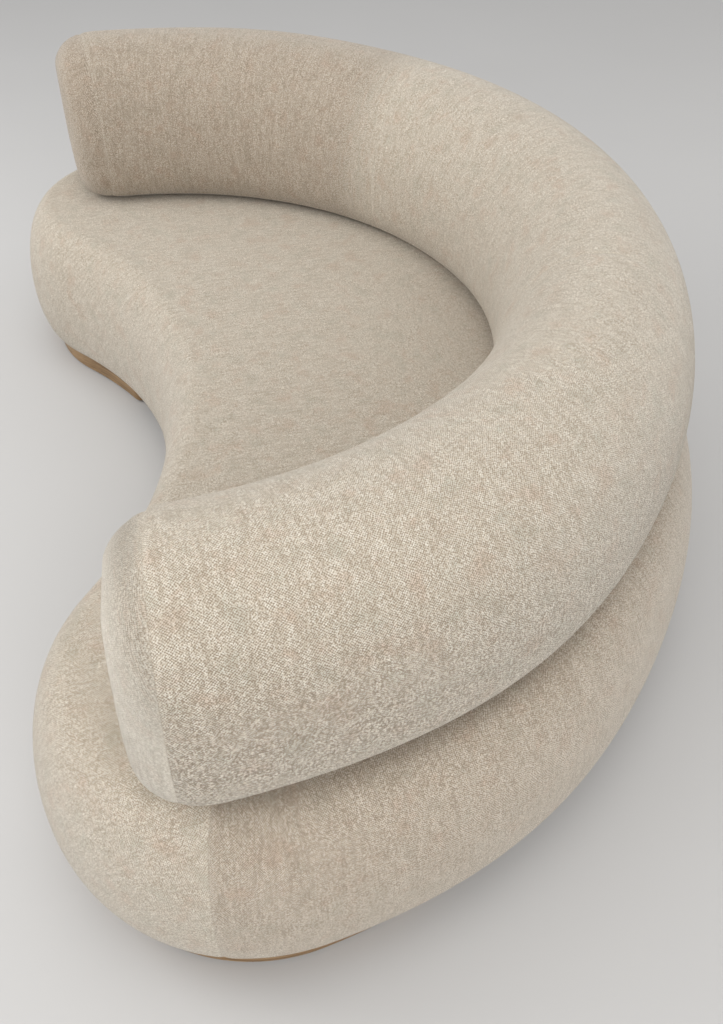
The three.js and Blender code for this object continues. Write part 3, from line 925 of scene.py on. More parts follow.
    def lay_weave(self, mesh: bpy.types.Mesh) -> None:
        """Writes each face corner's cloth coordinates and its panel's painted light.

        Args:
            mesh: Mesh of the cover.
        """
        points = corners(mesh)
        centres = np.zeros(len(mesh.polygons) * 3)
        mesh.polygons.foreach_get("center", centres)
        of_face = self.panels(centres.reshape(-1, 3))
        starts, totals = (np.zeros(len(mesh.polygons), int) for _ in range(2))
        mesh.polygons.foreach_get("loop_start", starts)
        mesh.polygons.foreach_get("loop_total", totals)
        face_of_corner = np.repeat(np.arange(len(totals)), totals)
        vertex = np.zeros(len(mesh.loops), int)
        mesh.loops.foreach_get("vertex_index", vertex)
        laid = np.zeros((len(vertex), 3))
        panel_of_corner = of_face[face_of_corner]
        for panel in np.unique(of_face):
            mine = panel_of_corner == panel
            used = np.unique(vertex[mine])
            own = np.zeros((len(points), 3))
            own[used, :2] = self.weave(points[used], int(panel))
            own[used, 2] = self.tone(points[used], int(panel))
            laid[mine] = own[vertex[mine]]
        lay_on(mesh, laid)


# ------------------------------------------------------------------ sub-assemblies


class SeatCover(Cover):
    """Upholstered seat body: a top and front panel, and a band round the back."""

    name = "seat_upholstery"
    TOP, BAND = 0, 1
    # painted light of each panel: painted shade on the band round the back, under the roll
    painted_light = {TOP: 0.0, BAND: -0.5}

    def __init__(self, form: SeatForm, roll: BackForm, swell: Swell) -> None:
        """Keeps the seat's form and the roll that presses on it.

        Args:
            form: The seat body's form.
            roll: Form of the roll that presses on it.
            swell: How the cover swells.
        """
        self.form = form
        self.roll = roll
        self.seam_angle = math.radians(19)
        self.top_zone = 30 * MM
        self.side_pile_and_shade = 0.15
        self.pile_and_shade_start = 20 * MM
        self.held_inset = 10 * MM
        self.footprint_fade = 14 * MM
        self.footprint_edge = 2 * MM
        self.footprint_drop = 0.2 * MM
        # painted shade on the top next to the middle of the roll: its amount, reach and spread
        self.painted_shade = 0.36
        self.painted_shade_reach = 340 * MM
        self.painted_shade_middle = 60 * MM
        self.painted_shade_side = 420 * MM
        self.lip = 60 * MM
        self.lip_shares = (0.35, 0.7, 1.0)
        self.lip_top = 60.14 * MM
        self.cut_height = 78 * MM
        self.under_levels = 6
        self.under_fade = 1.5
        self.wrap_share = 0.8
        super().__init__(swell, [self.end_seam(side) for side in Side])

    def end_seam(self, side: Side) -> SeamPlane:
        """Seam that runs down from the end of an arm."""
        return SeamPlane.at_end(side, self.seam_angle, self.form.lobe_centre(side), 0.0)

    def rings(self, depth: float) -> list[np.ndarray]:
        """Stacked outlines of the seat body."""
        return self.form.rings(depth)

    def centre(self) -> np.ndarray:
        """Centre of the back arc, in plan."""
        return self.form.centre()

    def pile(self, points: np.ndarray) -> np.ndarray:
        """The cloth lies flat on the seat and a little looser round its side, with shade painted between
        the loops there.
        """
        return self.side_pile_and_shade * smooth(points[:, 2], self.form.top - self.pile_and_shade_start, self.form.widest)

    def tone(self, points: np.ndarray, panel: int) -> np.ndarray:
        """Painted shade darkens the top next to the middle of the roll.

        Args:
            points: Points as rows.
            panel: The panel's number.

        Returns:
            One value for each point.
        """
        tone = super().tone(points, panel)
        if panel == self.TOP:
            near = smooth(np.abs(self.from_roll(points)), self.painted_shade_reach, 0.0)
            middle = smooth(np.abs(points[:, 0]), self.painted_shade_side, self.painted_shade_middle)
            tone -= self.painted_shade * near * middle
        return tone

    def from_roll(self, points: np.ndarray) -> np.ndarray:
        """Distance in plan from the strip that the roll stands on, below 0 under it.

        Args:
            points: Points as rows.

        Returns:
            One distance for each point.
        """
        _, gap = place_on(self.roll.strip(), points[:, :2])
        angle, across = self.roll.polar(points)
        along = (angle + self.roll.arm_angle) * self.roll.radius
        inside = np.abs(across) < self.roll.foot_half_width
        inside &= (along > 0) & (along < self.roll.length())
        return np.where(inside, -gap, gap)

    def held(self, points: np.ndarray) -> np.ndarray:
        """The underside is stapled, and the roll holds the top under it.

        Args:
            points: Points as rows.

        Returns:
            True where a point is held.
        """
        low = points[:, 2] < self.cut_height
        on_top = points[:, 2] > self.form.top - self.top_zone
        return low | (on_top & (self.from_roll(points) < -self.held_inset))

    def rest_on(self, points: np.ndarray) -> np.ndarray:
        """Brings the top level with the roll's underside where they meet.

        Args:
            points: Points as rows.

        Returns:
            The moved points.
        """
        moved = points.copy()
        near = points[:, 2] > self.form.top - self.top_zone
        gap = self.from_roll(points[near]) + self.footprint_edge
        share = smooth(gap, self.footprint_fade, 0.0)
        level = self.form.top - self.footprint_drop
        moved[near, 2] = moved[near, 2] * (1 - share) + level * share
        return moved

    def turn_under(self) -> tuple[float, list[np.ndarray], list[float]]:
        """Rolls in under the body to a flat lip beneath the base panel.

        Returns:
            Height of the cut, rings below it, and how much of the swelling each one keeps.
        """
        form = self.form
        drop = form.widest - form.underside
        start = math.asin((form.widest - self.cut_height) / drop)
        rings, keeps, levels = [], [], self.under_levels
        for step in range(levels + 1):
            inwards, rise = round_over(start + (math.pi / 2 - start) * step / levels, 2)
            inset = form.under_round * inwards
            rings.append(lifted(form.outline(inset), form.widest - drop * rise))
            keeps.append((1 - step / levels) ** self.under_fade)
        for share in self.lip_shares:
            inset = form.under_round + self.lip * share
            rings.append(lifted(form.outline(inset), form.underside))
            keeps.append(0.0)
        rings.append(lifted(form.outline(form.under_round + self.lip), self.lip_top))
        return self.cut_height, rings, [*keeps, 0.0]

    def panels(self, points: np.ndarray) -> np.ndarray:
        """The band lies behind the two end seams, outside the roll's centre line.

        Args:
            points: Points as rows.

        Returns:
            One number for each point.
        """
        _, across = self.roll.polar(points)
        behind = np.ones(len(points), bool)
        for side, seam in zip(Side, self.seams):
            same_end = points[:, 0] * side.value > 0
            behind &= ~same_end | (seam.offset(points) > 0)
        return np.where((across > 0) & behind, self.BAND, self.TOP)

    def side_turn(self, inset: np.ndarray, height: np.ndarray) -> np.ndarray:
        """Angle round the rounded side at insets and heights, 0 on its widest line.

        Args:
            inset: Distances inside the widest outline.
            height: Heights above the floor.

        Returns:
            Angles in radians.
        """
        form = self.form
        high = height >= form.widest
        run = np.where(high, form.top_round, form.under_round)
        lift = np.where(high, form.top - form.widest, form.widest - form.underside)
        return np.arctan2((height - form.widest) / lift, 1 - inset / run)

    def girth(self, points: np.ndarray, inset: np.ndarray) -> np.ndarray:
        """Length down the side from the edge of the flat top.

        Args:
            points: Points as rows.
            inset: Their distances inside the widest outline.

        Returns:
            One length for each point.
        """
        section = np.array(self.form.section(0.0, levels=40))
        length = run_length(section)
        turn = self.side_turn(*section.T)
        return length[-1] - np.interp(self.side_turn(inset, points[:, 2]), turn, length)

    def weave(self, points: np.ndarray, panel: int) -> np.ndarray:
        """Cloth coordinates: the top panel folds down over the front, the band runs round.

        Args:
            points: Points as rows.
            panel: The panel's number.

        Returns:
            Two coordinates for each point, in metres.
        """
        outline = self.form.outline(0.0)
        place, inset = place_on(outline, points[:, :2])
        girth = self.girth(points, np.minimum(inset, self.form.top_round))
        if panel == self.BAND:
            length = run_length(outline, True)
            along = np.interp(place, np.arange(len(outline) + 1), length)
            along = np.where(along > self.wrap_share * length[-1], along - length[-1], along)
            inner = np.maximum(0.0, inset - self.form.top_round)
            return np.column_stack([along, np.where(inner > 0, inner, -girth)])
        edge = at_place(self.form.outline(self.form.top_round), place)
        outwards = at_place(outline, place) - edge
        outwards /= np.linalg.norm(outwards, axis=1, keepdims=True)
        folded = edge + outwards * girth[:, None]
        return np.where((inset > self.form.top_round)[:, None], points[:, :2], folded)


class BackCover(Cover):
    """Upholstered roll: three panels along its length and one over each arm's end."""

    name = "back_upholstery"
    RIGHT_END, RIGHT_ARM, MIDDLE, LEFT_ARM, LEFT_END = range(5)
    # painted light of each panel: a painted highlight on the right end, painted shade on the left arm and
    # its end
    painted_light = {RIGHT_END: 0.9, RIGHT_ARM: 0.0, MIDDLE: 0.0, LEFT_ARM: -0.6, LEFT_END: -0.75}

    def __init__(self, form: BackForm, swell: Swell) -> None:
        """Keeps the roll's form.

        Args:
            form: The roll's form.
            swell: How the cover swells.
        """
        self.form = form
        self.bend_seams = (math.radians(63), math.radians(124))
        self.end_panel = 60 * MM
        self.tone_fade = 140 * MM
        self.tone_rise = 60 * MM
        self.pile_from, self.pile_and_shade_full = 0.2, 0.9
        self.fold_power = 4
        self.lip = 30 * MM
        self.lip_shares = (0.4, 1.0)
        self.lip_top = 400.33 * MM
        self.cut_height = 424 * MM
        self.held_below = 6 * MM
        self.bottom = 400.2 * MM
        ends = [self.end_plane(side) for side in Side]
        super().__init__(swell, [*(self.bend_seam(a) for a in self.bend_seams), *ends])

    def bend_seam(self, angle: float) -> SeamPlane:
        """Seam across the roll at an angle round its arc."""
        reach = (math.cos(angle), math.sin(angle))
        return SeamPlane(tuple(self.form.centre()), reach, (-reach[1], reach[0]))

    def end_plane(self, side: Side) -> SeamPlane:
        """Seam round the roll a little way from an arm's end."""
        return SeamPlane.at_end(side, self.form.arm_angle, self.form.centre(), self.end_panel)

    def rings(self, depth: float) -> list[np.ndarray]:
        """Stacked outlines of the roll."""
        return self.form.rings(depth)

    def centre(self) -> np.ndarray:
        """Centre of the roll's arc, in plan."""
        return self.form.centre()

    def pile(self, points: np.ndarray) -> np.ndarray:
        """The loops stand up on the low outer side of the roll, with shade painted between them there.

        Args:
            points: Points as rows.

        Returns:
            One value for each point, 0 to 1.
        """
        _, across = self.form.polar(points)
        half = self.form.half_width
        outer = smooth(across, self.pile_from * half, self.pile_and_shade_full * half)
        return outer * smooth(points[:, 2], self.form.top, self.form.widest)

    def held(self, points: np.ndarray) -> np.ndarray:
        """The strip that stands on the seat is stapled to its plate."""
        return points[:, 2] < self.cut_height - self.held_below

    def turn_under(self) -> tuple[float, list[np.ndarray], list[float]]:
        """Rolls in to the strip on the seat and a lip beneath the plate.

        Returns:
            Height of the cut, rings below it, and how much of the swelling each one keeps.
        """
        form = self.form
        low = [row for row in form.section(0.0, levels=24) if row[2] < self.cut_height]
        side, end = (
            float(np.interp(self.cut_height, [r[2] for r in low], [r[k] for r in low])) for k in (0, 1)
        )
        rings, keeps = [form.ring(side, end, self.cut_height)], [1.0]
        for count, row in enumerate(reversed(low), 1):
            rings.append(form.ring(*row))
            keeps.append(1 - count / len(low))
        for share in self.lip_shares:
            rings.append(lifted(form.strip(self.lip * share), self.bottom))
            keeps.append(0.0)
        rings.append(lifted(form.strip(self.lip), self.lip_top))
        return self.cut_height, rings, [*keeps, 0.0]

    def panels(self, points: np.ndarray) -> np.ndarray:
        """Panels in their order along the roll.

        Args:
            points: Points as rows.

        Returns:
            One number for each point.
        """
        angle, _ = self.form.polar(points)
        panel = np.where(angle < self.bend_seams[0], self.RIGHT_ARM, self.MIDDLE)
        panel = np.where(angle > self.bend_seams[1], self.LEFT_ARM, panel)
        for side, number in zip(Side, (self.RIGHT_END, self.LEFT_END)):
            seam = self.end_plane(side)
            panel = np.where((seam.ahead(points) > 0) & (seam.offset(points) < 0), number, panel)
        return panel

    def weave(self, points: np.ndarray, panel: int) -> np.ndarray:
        """Cloth coordinates: along and round the roll, or across and up an arm's end.

        Args:
            points: Points as rows.
            panel: The panel's number.

        Returns:
            Two coordinates for each point, in metres.
        """
        form = self.form
        angle, across = form.polar(points)
        if panel in (self.RIGHT_END, self.LEFT_END):
            return self.end_weave(points, across, Side.RIGHT if panel == self.RIGHT_END else Side.LEFT)
        rows = form.section(0.0, levels=30)
        section = np.array([(form.half_width - side, height) for side, _, height in rows])
        section = np.vstack([section, section[::-1] * (-1, 1)])
        rise = form.top - form.widest
        turn = np.unwrap(np.arctan2(section[:, 1] - form.widest, section[:, 0] * rise / form.half_width))
        mine = np.arctan2(points[:, 2] - form.widest, across * rise / form.half_width)
        mine = np.where(mine < -np.pi / 2, mine + 2 * np.pi, mine)
        return np.column_stack([angle * form.radius, np.interp(mine, turn, run_length(section))])

    def tone(self, points: np.ndarray, panel: int) -> np.ndarray:
        """The left arm's painted shade comes in softly, and the right end's painted highlight has a sharp
        edge low down only.

        Args:
            points: Points as rows.
            panel: The panel's number.

        Returns:
            One value for each point.
        """
        tone = super().tone(points, panel)
        if panel == self.LEFT_ARM:
            tone *= smooth(np.abs(self.seams[1].offset(points)), 0.0, self.tone_fade)
        if panel == self.RIGHT_END:
            soft = smooth(np.abs(self.end_plane(Side.RIGHT).offset(points)), 0.0, self.end_panel)
            high = smooth(points[:, 2], self.form.widest + self.tone_rise, self.form.top)
            tone *= 1 - high * (1 - soft)
        return tone

    def end_weave(self, points: np.ndarray, across: np.ndarray, side: Side) -> np.ndarray:
        """Cloth coordinates of an end panel, which folds back over the roll's sides and top.

        Args:
            points: Points of the panel.
            across: Their distance outwards from the roll's centre line.
            side: Which arm.

        Returns:
            Coordinates across and up the end.
        """
        form = self.form
        back = np.maximum(0.0, self.end_plane(side).offset(points) + self.end_panel)
        aside = np.clip(np.abs(across) / form.half_width, 0.0, 1.0)
        high = np.clip((points[:, 2] - form.widest) / (form.top - form.widest), 0.0, 1.0)
        aside, high = aside**self.fold_power, high**self.fold_power
        return np.column_stack([across + np.sign(across) * back * aside, points[:, 2] + back * high])


@dataclass
class Foot:
    """One low round foot: a disc kept inside the seat's edge, its rim eased, with two screw recesses."""

    place: str
    form: SeatForm
    radius: float = 365 * MM
    reveal: float = 42 * MM
    rim: float = 4 * MM
    rim_steps: int = 5
    felt_rim: float = 1.2 * MM
    felt_setback: float = 10 * MM
    sides: int = 180
    inner_rings: tuple[float, ...] = (0.65, 0.3, 0.07)
    flat_normal: float = 0.9
    recess_clearance: float = 1 * MM
    recess_sides: int = 32
    shank_share: float = 0.43
    shank_step: float = 4 * MM
    cutter_margin: float = 10 * MM
    grip: float = 20 * MM

    def node(self) -> str:
        """Name of the frame's solid that the foot stands for."""
        return f"foot_{self.place}"

    def screws(self) -> list[tuple[Vector, float]]:
        """Middle and head radius of each of the foot's screws."""
        boxes = [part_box(f"foot_screw_{self.place}_{number}") for number in (1, 2)]
        return [((low + high) / 2, (high.x - low.x) / 2) for low, high in boxes]

    def centre(self) -> np.ndarray:
        """Centre of the disc in plan, half way between its screws."""
        first, second = (middle for middle, _ in self.screws())
        return np.array(((first + second) / 2).xy)

    def outline(self, inset: float) -> np.ndarray:
        """Edge of the disc moved inwards, never passing the seat's edge.

        Args:
            inset: Distance inside the edge.

        Returns:
            Plan points.
        """
        ways = arc((0.0, 0.0), 1.0, 0.0, 2 * math.pi, self.sides)
        limit = reach(self.form.outline(self.reveal + inset), self.centre(), ways)
        return self.centre() + ways * np.minimum(self.radius - inset, limit)[:, None]

    def section(self, setback: float, rim: float, bottom: float, top: float) -> list[tuple[float, float]]:
        """Half section of the disc from the middle of its underside to the middle of its top.

        Args:
            setback: How far the rim stands in from the foot's edge.
            rim: Radius of the eased edges.
            bottom: Height of the underside.
            top: Height of the upper face.

        Returns:
            Pairs of inset and height.
        """
        turn = [math.pi / 2 * step / self.rim_steps for step in range(self.rim_steps + 1)]
        low = [(setback + rim * (1 - math.sin(t)), bottom + rim * (1 - math.cos(t))) for t in turn]
        high = [(inset, bottom + top - z) for inset, z in reversed(low)]
        inner = [self.radius * share for share in self.inner_rings]
        return [*((r, bottom) for r in inner), *low, *high, *((r, top) for r in reversed(inner))]

    def disc(self, name: str, section: Sequence[tuple[float, float]]) -> bpy.types.Object:
        """Closed disc from its half section.

        Args:
            name: Name of the piece.
            section: Pairs of inset and height.

        Returns:
            The piece.
        """
        piece = new_object(name, loft([lifted(self.outline(inset), height) for inset, height in section]))
        smooth_shade(piece.data)
        return piece

    def lay_grain(self, mesh: bpy.types.Mesh) -> None:
        """Writes grain coordinates: round the rim, and straight across the flats.

        Args:
            mesh: Mesh of the foot.
        """
        points = corners(mesh)
        centre = self.centre()
        laid = []
        for face in mesh.polygons:
            flat = abs(face.normal.z) > self.flat_normal
            base = math.atan2(face.center.y - centre[1], face.center.x - centre[0])
            for index in face.vertices:
                x, y, z = points[index]
                if flat:
                    laid.append((x, y, 0.0))
                    continue
                angle = math.atan2(y - centre[1], x - centre[0])
                angle += 2 * math.pi * round((base - angle) / (2 * math.pi))
                laid.append((angle * self.radius, z, 1.0))
        lay_on(mesh, np.array(laid))

    def recess(self, middle: Vector, head: float, bottom: float, top: float) -> bpy.types.Object:
        """Cutter for one screw: a wide recess and a narrow hole.

        Args:
            middle: Middle of the screw.
            head: Radius of its head.
            bottom: Underside of the foot.
            top: Upper face of the foot.

        Returns:
            The cutter.
        """
        wide = head + self.recess_clearance
        shank, ledge, margin = wide * self.shank_share, top - self.grip, self.cutter_margin
        levels = (
            (wide, bottom - margin), (wide, ledge - self.shank_step), (shank, ledge), (shank, top + margin)
        )
        rings = [lifted(arc(middle.xy, r, 0, 2 * math.pi, self.recess_sides), z) for r, z in levels]
        return new_object("recess", loft(rings))

    def build(self) -> bpy.types.Object:
        """Makes the foot with its recesses.

        Returns:
            The finished piece, without its material.
        """
        low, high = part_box(self.node())
        foot = self.disc(f"drum_foot_{self.place}", self.section(0.0, self.rim, low.z, high.z))
        cutters = [self.recess(middle, head, low.z, high.z) for middle, head in self.screws()]
        for cutter in cutters:
            hole = foot.modifiers.new(cutter.name, "BOOLEAN")
            hole.operation, hole.object, hole.solver = "DIFFERENCE", cutter, "EXACT"
        apply_all(foot)
        for cutter in cutters:
            bpy.data.objects.remove(cutter)
        self.lay_grain(foot.data)
        return foot

    def build_glide(self) -> bpy.types.Object:
        """Makes the felt disc under the foot.

        Returns:
            The finished piece, without its material.
        """
        low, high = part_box(f"foot_glide_{self.place}")
        section = self.section(self.felt_setback, self.felt_rim, low.z, high.z)
        return self.disc(f"felt_glide_{self.place}", section)


# ------------------------------------------------------------------ shader helpers


class Graph:
    """Short calls for wiring one node tree."""

    def __init__(self, tree: bpy.types.NodeTree) -> None:
        """Keeps the tree."""
        self.tree = tree

    def plug(self, value: object, socket: Socket) -> None:
        """Links a socket to another, or sets its plain value.

        Args:
            value: Socket or plain value.
            socket: Input that takes it.
        """
        if isinstance(value, bpy.types.NodeSocket):
            self.tree.links.new(value, socket)
        else:
            socket.default_value = value

    def add(self, kind: str, inputs: dict | None = None, **settings: object) -> bpy.types.Node:
        """Adds a node.

        Args:
            kind: Class name of the node without its "ShaderNode" start.
            inputs: Values or sockets by input name or number.
            **settings: Attributes of the node.

        Returns:
            The node.
        """
        node = self.tree.nodes.new(f"ShaderNode{kind}")
        for name, value in settings.items():
            setattr(node, name, value)
        for key, value in (inputs or {}).items():
            self.plug(value, node.inputs[key])
        return node

    def math(self, operation: str, *values: object, clamp: bool = False) -> Socket:
        """A sum on one to three values.

        Args:
            operation: Name of the sum.
            *values: Values or sockets.
            clamp: Whether the result stays between 0 and 1.

        Returns:
            The result.
        """
        node = self.add("Math", dict(enumerate(values)), operation=operation)
        node.use_clamp = clamp
        return node.outputs[0]

    def vector(self, operation: str, *values: object) -> Socket:
        """A sum on vectors."""
        return self.add("VectorMath", dict(enumerate(values)), operation=operation).outputs[0]

    def scaled(self, value: object, factor: object) -> Socket:
        """A vector times a number."""
        return self.add("VectorMath", {0: value, "Scale": factor}, operation="SCALE").outputs[0]

    def mix(self, factor: object, first: object, second: object) -> Socket:
        """A mix of two colours.

        Args:
            factor: Share of the second colour.
            first: First colour.
            second: Second colour.

        Returns:
            The mixed colour.
        """
        node = self.add("Mix", data_type="RGBA")
        for value, index in ((factor, 0), (first, 6), (second, 7)):
            self.plug(value, node.inputs[index])
        return node.outputs[2]

    def span(self, value: object, low: object, high: object, start: float = 0, stop: float = 1) -> Socket:
        """A value's smooth climb from start at low to stop at high."""
        inputs = {"Value": value, "From Min": low, "From Max": high, "To Min": start, "To Max": stop}
        return self.add("MapRange", inputs, interpolation_type="SMOOTHSTEP").outputs[0]

    def noise(self, vector: object, scale: object, detail: float = 2, rough: float = 0.5) -> bpy.types.Node:
        """A noise texture."""
        inputs = {"Vector": vector, "Scale": scale, "Detail": detail, "Roughness": rough}
        return self.add("TexNoise", inputs)

    def position(self) -> Socket:
        """Place on the object."""
        return self.add("TexCoord").outputs["Object"]

    def stored(self, name: str, output: str = "Fac") -> Socket:
        """Values stored on the mesh under a name."""
        return self.add("Attribute", attribute_name=name).outputs[output]

    def parts(self, vector: object) -> Sequence[Socket]:
        """The three parts of a vector."""
        return self.add("SeparateXYZ", {0: vector}).outputs

    def joined(self, *parts: object) -> Socket:
        """A vector from its parts."""
        return self.add("CombineXYZ", dict(enumerate(parts))).outputs[0]

    def weighted(self, first: object, share: float, second: object, other_share: float) -> Socket:
        """Sum of two values, each times its share."""
        return self.math("ADD", self.math("MULTIPLY", first, share),
                         self.math("MULTIPLY", second, other_share))

    def tinted(self, colour: object, mask: object, share: float, tint: object) -> Socket:
        """A colour mixed towards another by a share of a mask."""
        return self.mix(self.math("MULTIPLY", mask, share), colour, tint)

    def wander(self, vector: object, scale: object, amount: object) -> Socket:
        """A vector moved about by noise."""
        noise = self.noise(vector, scale, detail=1).outputs["Color"]
        shift = self.vector("SUBTRACT", noise, (0.5, 0.5, 0.5))
        return self.vector("ADD", vector, self.scaled(shift, amount))


class Effect:
    """A node group that is built once and placed in each material with its own values."""

    name: ClassVar[str] = ""
    inputs: ClassVar[dict[str, str]] = {}
    outputs: ClassVar[dict[str, str]] = {}

    @classmethod
    def wire(cls, graph: Graph, given: dict[str, Socket]) -> dict[str, Socket]:
        """Wires the group from its inputs to its outputs."""
        raise NotImplementedError

    @classmethod
    def group(cls) -> bpy.types.NodeTree:
        """The group's tree, made at its first use.

        Returns:
            The tree.
        """
        found = bpy.data.node_groups.get(cls.name)
        if found:
            return found
        tree = bpy.data.node_groups.new(cls.name, "ShaderNodeTree")
        for name, kind in cls.inputs.items():
            tree.interface.new_socket(name, in_out="INPUT", socket_type=f"NodeSocket{kind}")
        for name, kind in cls.outputs.items():
            tree.interface.new_socket(name, in_out="OUTPUT", socket_type=f"NodeSocket{kind}")
        source, result = tree.nodes.new("NodeGroupInput"), tree.nodes.new("NodeGroupOutput")
        made = cls.wire(Graph(tree), {name: source.outputs[name] for name in cls.inputs})
        for name, socket in made.items():
            tree.links.new(socket, result.inputs[name])
        return tree

    @classmethod
    def place(cls, graph: Graph, values: dict[str, object]) -> dict[str, Socket]:
        """Places the group in a tree.

        Args:
            graph: Tree to place it in.
            values: Values or sockets by input name.

        Returns:
            Output sockets by name.
        """
        node = graph.tree.nodes.new("ShaderNodeGroup")
        node.node_tree = cls.group()
        for name, value in values.items():
            graph.plug(value, node.inputs[name])
        return {name: node.outputs[name] for name in cls.outputs}


class BasketWeave(Effect):
    """Over-and-under weave of two threads: high on each crossing that comes to the front."""

    name = "basket_weave"
    inputs = {"Weave": "Vector", "Pitch": "Float", "Wander": "Float"}
    outputs = {"Height": "Float"}

    @classmethod
    def wire(cls, graph: Graph, given: dict[str, Socket]) -> dict[str, Socket]:
        """Two sine rows multiplied into a chequer of raised dots.

        Args:
            graph: The group's tree.
            given: Input sockets by name.

        Returns:
            Output sockets by name.
        """
        loose = graph.wander(given["Weave"], 60.0, given["Wander"])
        turns = graph.math("DIVIDE", math.pi, given["Pitch"])
        rows = [graph.math("SINE", part) for part in graph.parts(graph.scaled(loose, turns))[:2]]
        return {"Height": graph.span(graph.math("MULTIPLY", *rows), -0.9, 0.9)}

    @classmethod
    def over(cls, graph: Graph, weave: object, pitch: float, wander: float) -> Socket:
        """Height of the weave at cloth coordinates."""
        return cls.place(graph, {"Weave": weave, "Pitch": pitch, "Wander": wander})["Height"]


class LoopedYarn(Effect):
    """Small round loops of yarn standing up from the cloth, each with its own tone."""

    name = "looped_yarn"
    inputs = {"Position": "Vector", "Loop Size": "Float", "Crush": "Float"}
    outputs = {"Height": "Float", "Tone": "Float"}

    @classmethod
    def wire(cls, graph: Graph, given: dict[str, Socket]) -> dict[str, Socket]:
        """Cells of yarn over finer curls.

        Args:
            graph: The group's tree.
            given: Input sockets by name.

        Returns:
            Output sockets by name.
        """
        often = graph.math("DIVIDE", 1.0, given["Loop Size"])
        amount = graph.math("MULTIPLY", given["Loop Size"], given["Crush"])
        loose = graph.wander(given["Position"], graph.math("MULTIPLY", often, 0.7), amount)
        cells, fine = (
            graph.add("TexVoronoi", {"Vector": loose, "Scale": scale, "Randomness": 1.0}).outputs
            for scale in (often, graph.math("MULTIPLY", often, 2.3))
        )
        dome = graph.span(cells["Distance"], 0.75, 0.12)
        curl = graph.span(fine["Distance"], 0.8, 0.1)
        height = graph.weighted(dome, 0.68, curl, 0.32)
        return {"Height": height, "Tone": graph.parts(cells["Color"])[0]}

    @classmethod
    def over(cls, graph: Graph, position: object, size: float, crush: float) -> dict[str, Socket]:
        """Loops of a size, pushed about by a share of it."""
        return cls.place(graph, {"Position": position, "Loop Size": size, "Crush": crush})


class Streaks(Effect):
    """Long soft streaks along one direction, as in slubbed yarn or wood."""

    name = "streaks"
    inputs = {"Coordinates": "Vector", "Length": "Float", "Width": "Float", "Bend": "Float"}
    outputs = {"Value": "Float"}

    @classmethod
    def wire(cls, graph: Graph, given: dict[str, Socket]) -> dict[str, Socket]:
        """Noise stretched along the first coordinate.

        Args:
            graph: The group's tree.
            given: Input sockets by name.

        Returns:
            Output sockets by name.
        """
        loose = graph.wander(given["Coordinates"], 8.0, given["Bend"])
        sizes = (given["Length"], given["Width"], given["Width"])
        thin = graph.joined(*(graph.math("DIVIDE", *pair) for pair in zip(graph.parts(loose), sizes)))
        return {"Value": graph.noise(thin, 1.0, detail=4, rough=0.68).outputs[0]}


@dataclass(frozen=True)
class Streak:
    """Size of one kind of streak, in metres."""

    length: float
    width: float
    bend: float

    def over(self, graph: Graph, coordinates: object) -> Socket:
        """Streaks of this size at cloth or grain coordinates."""
        size = {"Length": self.length, "Width": self.width, "Bend": self.bend}
        return Streaks.place(graph, {"Coordinates": coordinates, **size})["Value"]


class Patches(Effect):
    """Broad uneven patches of tone."""

    name = "patches"
    inputs = {"Position": "Vector", "Size": "Float", "Contrast": "Float"}
    outputs = {"Value": "Float"}

    @classmethod
    def wire(cls, graph: Graph, given: dict[str, Socket]) -> dict[str, Socket]:
        """Slow noise pushed apart round its middle.

        Args:
            graph: The group's tree.
            given: Input sockets by name.

        Returns:
            Output sockets by name.
        """
        often = graph.math("DIVIDE", 1.0, given["Size"])
        slow = graph.noise(given["Position"], often, detail=3, rough=0.6).outputs[0]
        apart = graph.math("MULTIPLY", graph.math("SUBTRACT", slow, 0.5), given["Contrast"])
        return {"Value": graph.math("ADD", apart, 0.5, clamp=True)}

    @classmethod
    def over(cls, graph: Graph, position: object, size: float, contrast: float) -> Socket:
        """Patches of a size and contrast."""
        return cls.place(graph, {"Position": position, "Size": size, "Contrast": contrast})["Value"]


class SeamLine(Effect):
    """Needle line of a seam and the cloth pulled smooth beside it."""

    name = "seam_line"
    inputs = {"Distance": "Float", "Line": "Float", "Flank": "Float"}
    outputs = {"Line": "Float", "Flank": "Float"}

    @classmethod
    def wire(cls, graph: Graph, given: dict[str, Socket]) -> dict[str, Socket]:
        """One narrow and one wide fall from the seam.

        Args:
            graph: The group's tree.
            given: Input sockets by name.

        Returns:
            Output sockets by name.
        """
        return {
            "Line": graph.span(given["Distance"], given["Line"], 0.0),
            "Flank": graph.span(given["Distance"], given["Flank"], 0.0),
        }


class Surface:
    """One material being wired: its graph and its Principled BSDF."""

    def __init__(self, name: str) -> None:
        """Makes an empty node material of a name.

        Args:
            name: Its name.
        """
        self.material = bpy.data.materials.new(name)
        self.material.use_nodes = True
        tree = self.material.node_tree
        tree.nodes.clear()
        self.shader = tree.nodes.new("ShaderNodeBsdfPrincipled")
        output = tree.nodes.new("ShaderNodeOutputMaterial")
        tree.links.new(self.shader.outputs[0], output.inputs["Surface"])
        self.graph = Graph(tree)

    def colour(self, colour: object, rough: object, plain: dict[str, object] | None = None) -> None:
        """Plugs the colour and the roughness, and sets what is the same all over.

        Args:
            colour: Base colour.
            rough: Roughness.
            plain: Values of the shader's other inputs, by name.
        """
        self.graph.plug(colour, self.shader.inputs["Base Color"])
        self.graph.plug(rough, self.shader.inputs["Roughness"])
        for name, value in (plain or {}).items():
            self.shader.inputs[name].default_value = value

    def relief(self, height: object, depth: object, strength: float) -> None:
        """Bumps the surface by a height from 0 to 1, over a depth in metres."""
        bump = self.graph.add("Bump", {"Height": height, "Distance": depth, "Strength": strength})
        self.graph.plug(bump.outputs[0], self.shader.inputs["Normal"])


# ------------------------------------------------------------------ finishes


